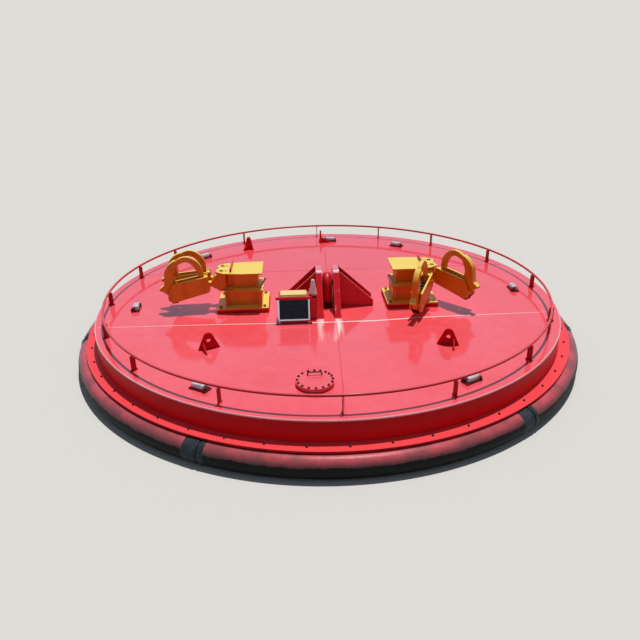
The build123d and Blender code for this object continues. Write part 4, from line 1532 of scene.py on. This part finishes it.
@dataclass
class SolarUnit:
    """Cells, frame screws and small fittings of the solar unit."""

    x: float = -0.564
    front_y: float = -1.09
    foot: float = 1.808
    lean: float = 15.0
    width: float = 0.497
    height: float = 0.362
    lip: float = 0.024
    recess: float = 0.004
    columns: int = 9
    rows: int = 4
    tile_gap: float = 0.0028
    tile_cut: float = 0.005
    box_top: float = 2.196
    box_y: float = -0.865
    box_screw: tuple[float, float] = (0.185, 0.073)
    stand_width: float = 0.56
    lantern_plate: tuple[float, float] = (-0.268, -0.93)

    def face(self) -> Axes:
        """Axes on the panel's front, from the middle of its lower edge, with z out of it.

        Returns:
            The axes.
        """
        lean = math.radians(self.lean)
        ahead, over = math.cos(lean), math.sin(lean)
        return Axes(
            np.array([self.x, self.front_y, self.foot]), np.array([1.0, 0, 0]),
            np.array([0, over, ahead]), np.array([0, -ahead, over]))

    def build(self) -> None:
        """Makes the laminate, which stands for the plain panel, and the fittings."""
        self.build_panel()
        self.build_fittings()
        self.build_stand()

    def build_panel(self) -> None:
        """Makes the panel's backing, cell tiles and busbars."""
        inner_width, inner_height = self.width - 2 * self.lip, self.height - 2 * self.lip
        middle = self.face().moved(0, self.height / 2, -self.recess)
        outline = plate_outline(inner_width - 0.001, inner_height - 0.001, 0.001, 2)
        sheet = Solids().add(slab(outline, -0.014, -0.001, 0.0005), middle)
        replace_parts(sheet.piece("solar_backing", "wrap_rubber", "buoy"), "solar_panel")
        cells, bars = Solids(), Solids()
        pitch_x, pitch_y = (inner_width - 0.016) / self.columns, (inner_height - 0.020) / self.rows
        size_x, size_y = pitch_x - self.tile_gap, pitch_y - self.tile_gap
        cut = self.tile_cut
        shape = np.array([(1, 1), (-1, 1), (-1, -1), (1, -1)]) * (size_x / 2, size_y / 2)
        before = shape + np.array([(0, -cut), (cut, 0), (0, cut), (-cut, 0)])
        after = shape + np.array([(-cut, 0), (0, -cut), (cut, 0), (0, cut)])
        tile = slab(np.stack([before, after], axis=1).reshape(-1, 2), -0.0012, 0.0004, 0.0002)
        for column in range(self.columns):
            for row in range(self.rows):
                x, y = column - (self.columns - 1) / 2, row - (self.rows - 1) / 2
                cells.add(tile, middle.moved(x * pitch_x, y * pitch_y, 0))
        bar = slab(plate_outline(inner_width - 0.02, 0.0022, 0.0004, 2), 0.0003, 0.0007, 0.0001)
        for row in range(self.rows):
            for share in (-0.25, 0.25):
                bars.add(bar, middle.moved(0, (row - (self.rows - 1) / 2 + share) * pitch_y, 0))
        cells.piece("solar_cell_tiles", "solar_cells", "buoy")
        bars.piece("solar_busbars", "frame_aluminium", "buoy", finish="busbar_foil")

    def build_fittings(self) -> None:
        """Makes the frame's screws and seal, and the battery box's lid seam and screws."""
        face, trim, screws = self.face(), Solids(), Solids()
        screw = lathe(((0.006, -0.001), (0.006, 0.0012), (0.003, 0.002), (0.0, 0.002)), 12)
        for side in (-1, 1):
            for end in (0, 1):
                x = side * (self.width / 2 - self.lip / 2)
                screws.add(screw, face.moved(x, self.lip / 2 + end * (self.height - self.lip), 0))
        left, right = self.lip - self.width / 2, self.width / 2 - self.lip
        low, high = self.lip, self.height - self.lip
        for start, stop in (((left, low), (right, low)), ((left, high), (right, high)),
                            ((left, low), (left, high)), ((right, low), (right, high))):
            ends = face.put(np.array([(*start, -0.002), (*stop, -0.002)]))
            trim.add(tube(line_path(*ends, 0.1), 0.0028, 8))
        trim.piece("solar_glass_seal", "wrap_rubber", "buoy")
        lid = Solids()
        box = upward(self.x, self.box_y, self.box_top)
        lid.add(slab(plate_outline(0.417, 0.192, 0.011, 5), -0.014, -0.011, 0.0006), box)
        lid.piece("battery_box_seam", "wrap_rubber", "buoy")
        screw = lathe(((0.008, -0.001), (0.008, 0.001), (0.005, 0.002), (0.0, 0.001)), 14)
        for side in (-1, 1):
            for end in (-1, 1):
                screws.add(screw, box.moved(side * self.box_screw[0], end * self.box_screw[1], 0))
        screws.piece("solar_unit_screws", "lever_steel", "buoy")

    def build_stand(self) -> None:
        """Makes the stand's shoe on the deck, its shelf lip and the plate below the lantern."""
        rail = Solids()
        shoe = upward(self.x, self.front_y - 0.004, DECK)
        rail.add(slab(plate_outline(self.stand_width, 0.05, 0.004), 0.0, 0.011, 0.002), shoe)
        ear = slab(plate_outline(0.012, 0.03, 0.002, 2), 0.0, 0.05, 0.002)
        for side in (-1, 1):
            rail.add(ear, shoe.moved(side * 0.262, 0.01, 0))
        # The shoe is dark red, as painted shade under the panel.
        rail.piece("solar_stand_shoe", "bracket_paint", "buoy", finish="dark_and_shade_paint")
        plates = Solids()
        lip = upward(*self.face().moved(0, self.height, 0).origin)
        shelf = slab(plate_outline(self.stand_width, 0.03, 0.002, 2), 0.0008, 0.010, 0.001)
        plates.add(shelf, lip.moved(0, -0.004, 0))
        edge = slab(plate_outline(self.stand_width, 0.006, 0.001, 2), -0.028, 0.010, 0.001)
        plates.add(edge, lip.moved(0, -0.017, 0))
        front = slab(plate_outline(0.15, 0.008, 0.001, 2), 0.0, 0.35, 0.001)
        plates.add(front, upward(*self.lantern_plate, DECK))
        plates.piece("solar_stand_plates", "bracket_paint", "buoy", finish="bracket_paint_weld")


@dataclass
class Lantern:
    """Ribbed lens, inner column, base and bolts of the lantern."""

    x: float = -0.253
    y: float = -0.85
    bottom: float = 2.155
    base_radius: float = 0.059
    top_radius: float = 0.026
    height: float = 0.244
    ribs: int = 9
    collar_radius: float = 0.0585

    def build(self) -> None:
        """Makes the lens, which stands for the plain cone, its column, collar and screws.

        The lens's radius falls evenly with height, plus a ripple of one raised sine for each rib.
        """
        stand = upward(self.x, self.y, self.bottom)
        share = np.linspace(0, 1, 91)
        radius = self.base_radius + (self.top_radius - self.base_radius) * share - 0.004
        radius = radius + 0.0035 * np.abs(np.sin(share * self.ribs * math.pi)) ** 0.7
        radius = radius * np.sqrt(np.clip(1 - np.clip((share - 0.93) / 0.075, 0, 1) ** 2, 0, 1))
        profile = np.column_stack([radius, 0.018 + share * (self.height - 0.019)])
        profile = np.concatenate([[(0.0, 0.018)], profile, [(0.0, self.height - 0.001)]])
        lens = Solids().add(lathe(profile, 64), stand)
        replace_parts(lens.piece("lantern_ribbed_lens", "lantern_lens", "buoy", 60), "lantern_lens")
        column = ((0.0, 0.019), (0.036, 0.019), (0.030, 0.05), (0.013, 0.055), (0.010, 0.19),
                  (0.0, 0.20))
        core = Solids().add(lathe(column, 32), stand)
        core.piece("lantern_core", "frame_aluminium", "buoy")
        ring, neck = self.collar_radius, self.collar_radius - 0.004
        collar = ((0.0, 0.0), (ring, 0.0), (ring, 0.006), (neck, 0.010), (neck, 0.019),
                  (0.0, 0.019))
        base = Solids().add(lathe(collar, 56), stand)
        base.piece("lantern_base", "cream_box", "buoy", finish="seam_filler")
        screws = Solids()
        for angle in np.radians([30, 150, 270]):
            place = stand.moved(ring * math.cos(angle), ring * math.sin(angle), 0.0)
            add_bolt(screws, place, 0.009, 0.005)
        screws.piece("lantern_bolts", "lever_steel", "buoy")


@dataclass
class Pedestal:
    """Bolts, welds, covers and pin details of one hook pedestal.

    Column, housing and foundation each hold the low X, high X and half width of a welded box.
    """

    name: str
    side: int
    x: float = 1.4
    y: float = -0.245
    length: float = 0.84
    width: float = 0.715
    column: tuple[float, float, float] = (1.085, 1.690, 0.215)
    housing: tuple[float, float, float] = (1.136, 1.530, 0.165)
    foundation: tuple[float, float, float] = (0.98, 1.82, 0.3575)
    bolt_inset: float = 0.062
    plate_top: float = 1.835
    shelf_bottom: float = 2.095
    shelf_top: float = 2.12
    ceiling: float = 2.39
    top: float = 2.41
    swivel_x: float = 1.728
    swivel_spacing: float = 0.24
    stop_x: float = 1.624
    cover_x: float = 1.333
    cover_height: float = 2.255
    cover_bolts: tuple[float, float] = (0.13, 0.075)

    def box_weld(self, box: tuple[float, float, float], height: float, radius: float) -> Array:
        """Weld bead round a box.

        Args:
            box: Low X, high X and half width of the box.
            height: Height of the bead.
            radius: Its mean radius.

        Returns:
            Grid of points, line by turn.
        """
        low, high, half = box
        middle = upward(self.side * (low + high) / 2, self.y, height)
        outline = plate_outline(high - low + 0.006, 2 * half + 0.006, 0.010, 4)
        corners = middle.put(np.column_stack([outline, np.zeros(len(outline))]))
        after = np.roll(corners, -1, axis=0)
        ring = np.concatenate([line_path(a, b, 0.03)[:-1] for a, b in zip(corners, after)])
        return weld(ring, radius, True, 0.9)

    def build(self) -> None:
        """Makes the base bolts, the weld beads, the covers and the pins' keeper plates."""
        side = self.side
        bolts, welds, steel, covers = Solids(), Solids(), Solids(), Solids()
        rise = self.ceiling - self.shelf_top
        stop = slab(plate_outline(0.032, 0.19, 0.004), 0.0005, rise - 0.0005)
        covers.add(stop, upward(side * self.stop_x, self.y, self.shelf_top))
        reach_x, reach_y = self.length / 2 - self.bolt_inset, self.width / 2 - self.bolt_inset
        for end_x in (-1, 1):
            for end_y in (-1, 1):
                x, y = side * self.x + end_x * reach_x, self.y + end_y * reach_y
                add_bolt(bolts, upward(x, y, self.plate_top), 0.046, 0.022, 0.006)
        for box, height, radius in (
                (self.column, self.plate_top, 0.009), (self.column, self.shelf_bottom, 0.007),
                (self.housing, self.shelf_top, 0.008), (self.housing, self.ceiling, 0.007)):
            welds.add(self.box_weld(box, height, radius))
        foot = Solids().add(self.box_weld(self.foundation, DECK, 0.012))
        foot.piece(
            f"{self.name}_foundation_weld", "bracket_paint", "buoy", finish="bracket_paint_weld")
        washer = ((0.0322, 0.0), (0.046, 0.0), (0.046, 0.004), (0.044, 0.006), (0.0322, 0.006))
        keeper = slab(plate_outline(0.05, 0.018, 0.004), 0.0, 0.006, 0.001)
        for end in (-1, 1):
            pin = upward(side * self.swivel_x, self.y + end * self.swivel_spacing / 2, self.top)
            steel.add(lathe(washer, 40), pin, closed=True)
            steel.add(keeper, pin.moved(-side * 0.066, 0, 0))
            add_bolt(bolts, pin.moved(-side * 0.078, 0, 0.005), 0.014, 0.006)
        cover = slab(plate_outline(0.30, 0.19, 0.012, 4), -0.001, 0.006, 0.0015)
        for end in (-1, 1):
            y = self.y + end * self.housing[2]
            face = facing((side * self.cover_x, y, self.cover_height), (0, end, 0))
            covers.add(cover, face)
            for x in (-self.cover_bolts[0], self.cover_bolts[0]):
                for y in (-self.cover_bolts[1], self.cover_bolts[1]):
                    add_bolt(covers, face.moved(x, y, 0.005), 0.016, 0.004)
        bolts.piece(f"{self.name}_pedestal_bolts", "pin_steel", "buoy", finish="bolt_brown")
        welds.piece(
            f"{self.name}_pedestal_welds", "yellow_paint", "buoy", finish="yellow_paint_weld")
        steel.piece(f"{self.name}_pin_keepers", "yellow_paint", "buoy", finish="yellow_paint_weld")
        covers.piece(f"{self.name}_housing_covers", "yellow_paint", "buoy")


@dataclass
class Hook:
    """Fittings of one quick release hook, all riding with its frame."""

    name: str
    side: int
    end: int
    heading: float
    pitch: float
    pin_reach: float = 0.253
    pin_height: float = 2.207
    half_width: float = 0.093
    inner_half: float = 0.063
    horn_pin: tuple[float, float] = (0.56, -0.105)
    side_bolts: tuple[tuple[float, float], ...] = (
        (0.06, 0.05), (0.20, -0.02), (0.20, 0.03), (0.27, 0.01), (0.42, -0.10))
    rope_bars: tuple[float, ...] = (0.165, 0.245, 0.325, 0.405)
    seat_top: float = 0.0605

    def axes(self) -> Axes:
        """The hook's own place, from its pitch pin: x along it, y over it and z across it.

        Returns:
            The axes.
        """
        h, p = math.radians(self.heading), math.radians(self.pitch)
        swivel = np.array([self.side * 1.728, -0.245 + self.end * 0.12, self.pin_height])
        origin = swivel + self.pin_reach * np.array([math.cos(h), math.sin(h), 0])
        x = np.array([math.cos(p) * math.cos(h), math.cos(p) * math.sin(h), math.sin(p)])
        z = np.array([math.sin(h), -math.cos(h), 0])
        return Axes(origin, x, np.cross(z, x), z)

    def across(self, axes: Axes, x: float, y: float, z: float, way: int) -> Axes:
        """Axes on a side plate at z, facing outwards."""
        return facing(axes.put(np.array([x, y, z])), axes.z * way)

    def build(self) -> None:
        """Makes the pin ends, side bolts, rope bars and toe block."""
        axes, body = self.axes(), f"{self.name}_frame"
        bolts, pins, bars, toe = Solids(), Solids(), Solids(), Solids()
        rim = ((0.0, -0.002), (0.026, -0.002), (0.026, 0.0), (0.022, 0.0025), (0.0, 0.0025))
        cap = lathe(rim, 32)
        head = slab(ring_outline(6, 0.011), -0.001, 0.004, 0.001)
        for way in (-1, 1):
            for spot in ((0.0, 0.0), self.horn_pin):
                pins.add(cap, self.across(axes, *spot, way * (self.half_width + 0.0045), way))
            for spot in self.side_bolts:
                bolts.add(head, self.across(axes, *spot, way * self.half_width, way))
        pins.piece(f"{self.name}_pin_ends", "yellow_paint", body, finish="yellow_paint_weld")
        bolts.piece(f"{self.name}_side_bolts", "yellow_paint", body, finish="yellow_paint_weld")
        half = self.inner_half - 0.001
        section = ((-0.020, 0.0), (0.020, 0.0), (0.016, 0.020), (-0.016, 0.020))
        for spot in self.rope_bars:
            bars.add(slab(section, -half, half, 0.002), axes.moved(spot, self.seat_top, 0))
        bars.piece(f"{self.name}_rope_bars", "wrap_rubber", body)
        section = ((-0.055, -0.112), (0.045, -0.112), (0.055, -0.070), (-0.065, -0.070))
        toe.add(slab(section, -half, half, 0.004), axes.moved(*self.horn_pin, 0))
        toe.piece(f"{self.name}_toe_block", "bracket_paint", body, finish="dark_and_shade_paint")


@dataclass
class Studio:
    """Floor, background, key lamp and camera."""

    sun_strength: float = 2.8
    sun_colour: Colour = (1.0, 0.97, 0.92)
    sun_spread: float = 2
    sun_side: Point = (0.115, 0.218, 1.0)
    skies: tuple[tuple[str, Colour, float], ...] = (
        ("", (0.76, 0.87, 1.0), 0.17),
        ("Is Glossy Ray", (0.50, 0.76, 1.0), 0.84),
        ("Is Transmission Ray", (0.737, 0.723, 0.686), 1.0),
        ("Is Camera Ray", (0.737, 0.723, 0.686), 1.0))
    pale_rays: tuple[str, ...] = ("Camera", "Glossy", "Transmission")
    floor_pale: Colour = (0.74, 0.73, 0.71)
    floor_bounce: float = 0.26
    camera_place: Point = (-0.5126, -9.7806, 5.747)
    heading: float = 2.32
    down: float = 24.39
    roll: float = -1.011
    lens: float = 34.2

    def floor(self) -> None:
        """Makes the round floor at the waterline, in rings that widen evenly from 2 to 120 metres.

        It is pale where it is seen, and darker as a light on the object.
        """
        reach = np.concatenate([[0.0], 2.0 * 60 ** np.linspace(0, 1, 40)])
        points = lathe(np.column_stack([reach, np.full(len(reach), WATERLINE)]), 96)
        rows, columns = points.shape[:2]
        index = np.arange(rows * columns).reshape(rows, columns)
        wrapped = np.concatenate([index, index[:, :1]], axis=1)
        left, right = wrapped[:, :-1], wrapped[:, 1:]
        quads = np.stack([left[:-1], left[1:], right[1:], right[:-1]], axis=-1)
        mesh = bpy.data.meshes.new("floor")
        mesh.from_pydata(points.reshape(-1, 3), [], quads.reshape(-1, 4).tolist())
        graph = Graph("studio_floor")
        rays = [graph.node("ShaderNodeLightPath", out=f"Is {kind} Ray") for kind in self.pale_rays]
        shown = graph.math("MAXIMUM", graph.math("MAXIMUM", *rays[:2]), rays[2])
        colour = graph.mix(shown, (self.floor_bounce,) * 3, self.floor_pale)
        graph.dress(Base_Color=colour, Roughness=0.75, Specular_IOR_Level=0.0)
        mesh.materials.append(graph.material)
        thing = bpy.data.objects.new("studio_floor", mesh)
        bpy.context.scene.collection.objects.link(thing)

    def world(self) -> None:
        """Makes the sky: dim as a light, blue in reflections and pale where the camera sees it."""
        world = bpy.data.worlds.new("studio_sky")
        world.use_nodes = True
        tree = world.node_tree
        tree.nodes.clear()
        path = tree.nodes.new("ShaderNodeLightPath")
        result = None
        for ray, colour, strength in self.skies:
            sky = tree.nodes.new("ShaderNodeBackground")
            sky.inputs["Color"].default_value = (*colour, 1)
            sky.inputs["Strength"].default_value = strength
            if result is None:
                result = sky.outputs[0]
                continue
            blend = tree.nodes.new("ShaderNodeMixShader")
            tree.links.new(path.outputs[ray], blend.inputs[0])
            tree.links.new(result, blend.inputs[1])
            tree.links.new(sky.outputs[0], blend.inputs[2])
            result = blend.outputs[0]
        output = tree.nodes.new("ShaderNodeOutputWorld")
        tree.links.new(result, output.inputs[0])
        bpy.context.scene.world = world

    def lamps(self) -> None:
        """Makes the one key lamp, high, behind and to the right."""
        lamp = bpy.data.lights.new("key_lamp", "SUN")
        lamp.energy = self.sun_strength
        lamp.angle = math.radians(self.sun_spread)
        lamp.color = self.sun_colour
        thing = bpy.data.objects.new("key_lamp", lamp)
        thing.rotation_euler = axes_matrix(facing((0, 0, 12), self.sun_side)).to_euler()
        thing.location = (1.4, 2.6, 12)
        bpy.context.scene.collection.objects.link(thing)

    def camera(self) -> None:
        """Makes the camera where the photograph was taken from."""
        h, p, r = (math.radians(angle) for angle in (self.heading, self.down, self.roll))
        ahead = np.array([math.sin(h) * math.cos(p), math.cos(h) * math.cos(p), -math.sin(p)])
        right = np.array([math.cos(h), -math.sin(h), 0])
        over = np.cross(right, ahead)
        level = math.cos(r) * right + math.sin(r) * over
        up = math.cos(r) * over - math.sin(r) * right
        data = bpy.data.cameras.new("camera")
        data.lens, data.sensor_width = self.lens, 36
        data.clip_start, data.clip_end = 0.1, 400
        thing = bpy.data.objects.new("camera", data)
        thing.matrix_world = axes_matrix(Axes(np.array(self.camera_place), level, up, -ahead))
        bpy.context.scene.collection.objects.link(thing)
        bpy.context.scene.camera = thing

    def build(self) -> None:
        """Makes the whole studio."""
        self.floor()
        self.world()
        self.lamps()
        self.camera()
        bpy.context.scene.view_settings.view_transform = "Standard"


def axes_matrix(axes: Axes) -> Matrix:
    """The matrix that turns and moves a thing onto some axes.

    Args:
        axes: The axes.

    Returns:
        The 4 by 4 matrix.
    """
    whole = np.eye(4)
    whole[:3, :] = np.column_stack([axes.x, axes.y, axes.z, axes.origin])
    return Matrix(whole.tolist())


def main() -> None:
    """Dresses the buoy, piece by piece, and sets up the studio."""
    logging.basicConfig(level=logging.INFO, format="%(message)s")
    Materials().paint_nodes()
    parts = [
        Hull(), Fender(), Rail(), Manhole(), Bracket(), LiftingLugs(), DeckLights(), SolarUnit(),
        Lantern(), Pedestal("right", 1), Pedestal("left", -1),
        Hook("right_rear", 1, 1, -50, -5), Hook("right_front", 1, -1, -118, -14),
        Hook("left_front", -1, -1, 184, -8), Hook("left_rear", -1, 1, 184, -2),
    ]
    for part in parts:
        part.build()
    Studio().build()


if __name__ == "__main__":
    main()
